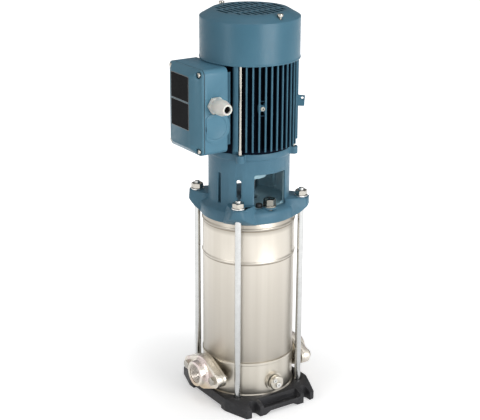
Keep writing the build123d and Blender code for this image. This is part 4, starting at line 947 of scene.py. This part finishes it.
def in_grille(point):
    """Whether a point lies in the grille of the fan cover."""
    return point.xy.length < GRILLE_RADIUS


soften("foot_casting", 0.0007, foot_primer)
soften("lantern_bracket", 0.0009, lantern_enamel)
soften("motor_frame", 0.00035, fin_enamel)
soften("terminal_box", 0.0005, enamel_smooth)
lid = soften("terminal_lid", 0.0006, lid_enamel)
soften("suction_flange", 0.0006, flange_steel.material)
soften("delivery_flange", 0.0006, flange_steel.material)
soften("fan_cover", 0.0004, cover_enamel, keep=in_grille)
soften("drain_plug", 0.0004, pressed_steel.material)
soften("gland_body", 0.0004, white_nylon.material)
soften("gland_nut", 0.0003, white_nylon.material)
soften("lid_screws", 0.0003, nut_steel.material)
soften("cover_screws", 0.0003, nut_steel.material)
soften("vent_cap", 0.0004, black_plastic.material)

# %% [markdown]
# ### Seal of the cable gland
# Behind the mouth of the gland nut sits a black rubber sleeve that grips the cable. With no
# cable in it, the mouth looks dark.

# %% Rubber sleeve
GLAND_AT = (-0.093, 0.508)
SLEEVE_BORE, SLEEVE_RADIUS, SLEEVE_IN, SLEEVE_OUT = 0.0044, 0.0054, 0.0565, 0.0782
sleeve = lathe([
    (SLEEVE_BORE, SLEEVE_IN), (SLEEVE_BORE, SLEEVE_OUT - 0.0012),
    (SLEEVE_BORE + 0.0005, SLEEVE_OUT), (SLEEVE_RADIUS, SLEEVE_OUT), (SLEEVE_RADIUS, SLEEVE_IN),
], 48, closed=True)
to_gland = Matrix.Translation((GLAND_AT[0], 0, GLAND_AT[1])) @ Matrix.Rotation(math.pi / 2, 4, "X")
gland_seal = add_object(
    "gland_seal", copies(sleeve, [to_gland]),
    "pump", seal_rubber.material
)
print("gland seal:", len(gland_seal.data.polygons))

# %% [markdown]
# ### Rating plates
# Two thin foil plates lie on the flat of the lid. The flat steps back by the foil's
# thickness, so the plates don't stand out of the solid. They are black with a narrow pale
# edge and stay bare.

# %% Bare plates
LID_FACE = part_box("terminal_lid")[0].x
PLATE = 0.0004
UPPER_PLATE, LOWER_PLATE, PLATE_HALF = (0.5110, 0.5506), (0.4680, 0.5100), 0.0253
for vert in lid.data.vertices:
    if vert.co.x < LID_FACE + PLATE / 4:
        vert.co.x += PLATE


def bare_plate(low, high, half, thickness=PLATE, edge=0.0009):
    """Foil plate with rounded corners; its border gets the second material."""
    mesh = bmesh.new()
    bmesh.ops.create_cube(mesh, size=1.0)
    bmesh.ops.scale(mesh, verts=mesh.verts, vec=(thickness, 2 * half, high - low))
    corners = [e for e in mesh.edges if abs(e.verts[0].co.x - e.verts[1].co.x) > thickness / 2]
    bmesh.ops.bevel(
        mesh, geom=corners, offset=0.0016, affect="EDGES", segments=4, profile=0.5, material=-1
    )
    face = min(mesh.faces, key=lambda f: f.calc_center_median().x)
    rim = bmesh.ops.inset_individual(mesh, faces=[face], thickness=edge, depth=0.0)["faces"]
    for part in rim:
        part.material_index = 1
    bmesh.ops.translate(mesh, verts=mesh.verts, vec=(LID_FACE + thickness / 2, 0, (low + high) / 2))
    bmesh.ops.recalc_face_normals(mesh, faces=mesh.faces)
    return mesh


plates = add_object(
    "rating_plates",
    joined(bare_plate(*UPPER_PLATE, PLATE_HALF), bare_plate(*LOWER_PLATE, PLATE_HALF)),
    "pump", plate_black.material
)
plates.data.materials.append(plate_edge.material)
print("plates:", len(plates.data.polygons))
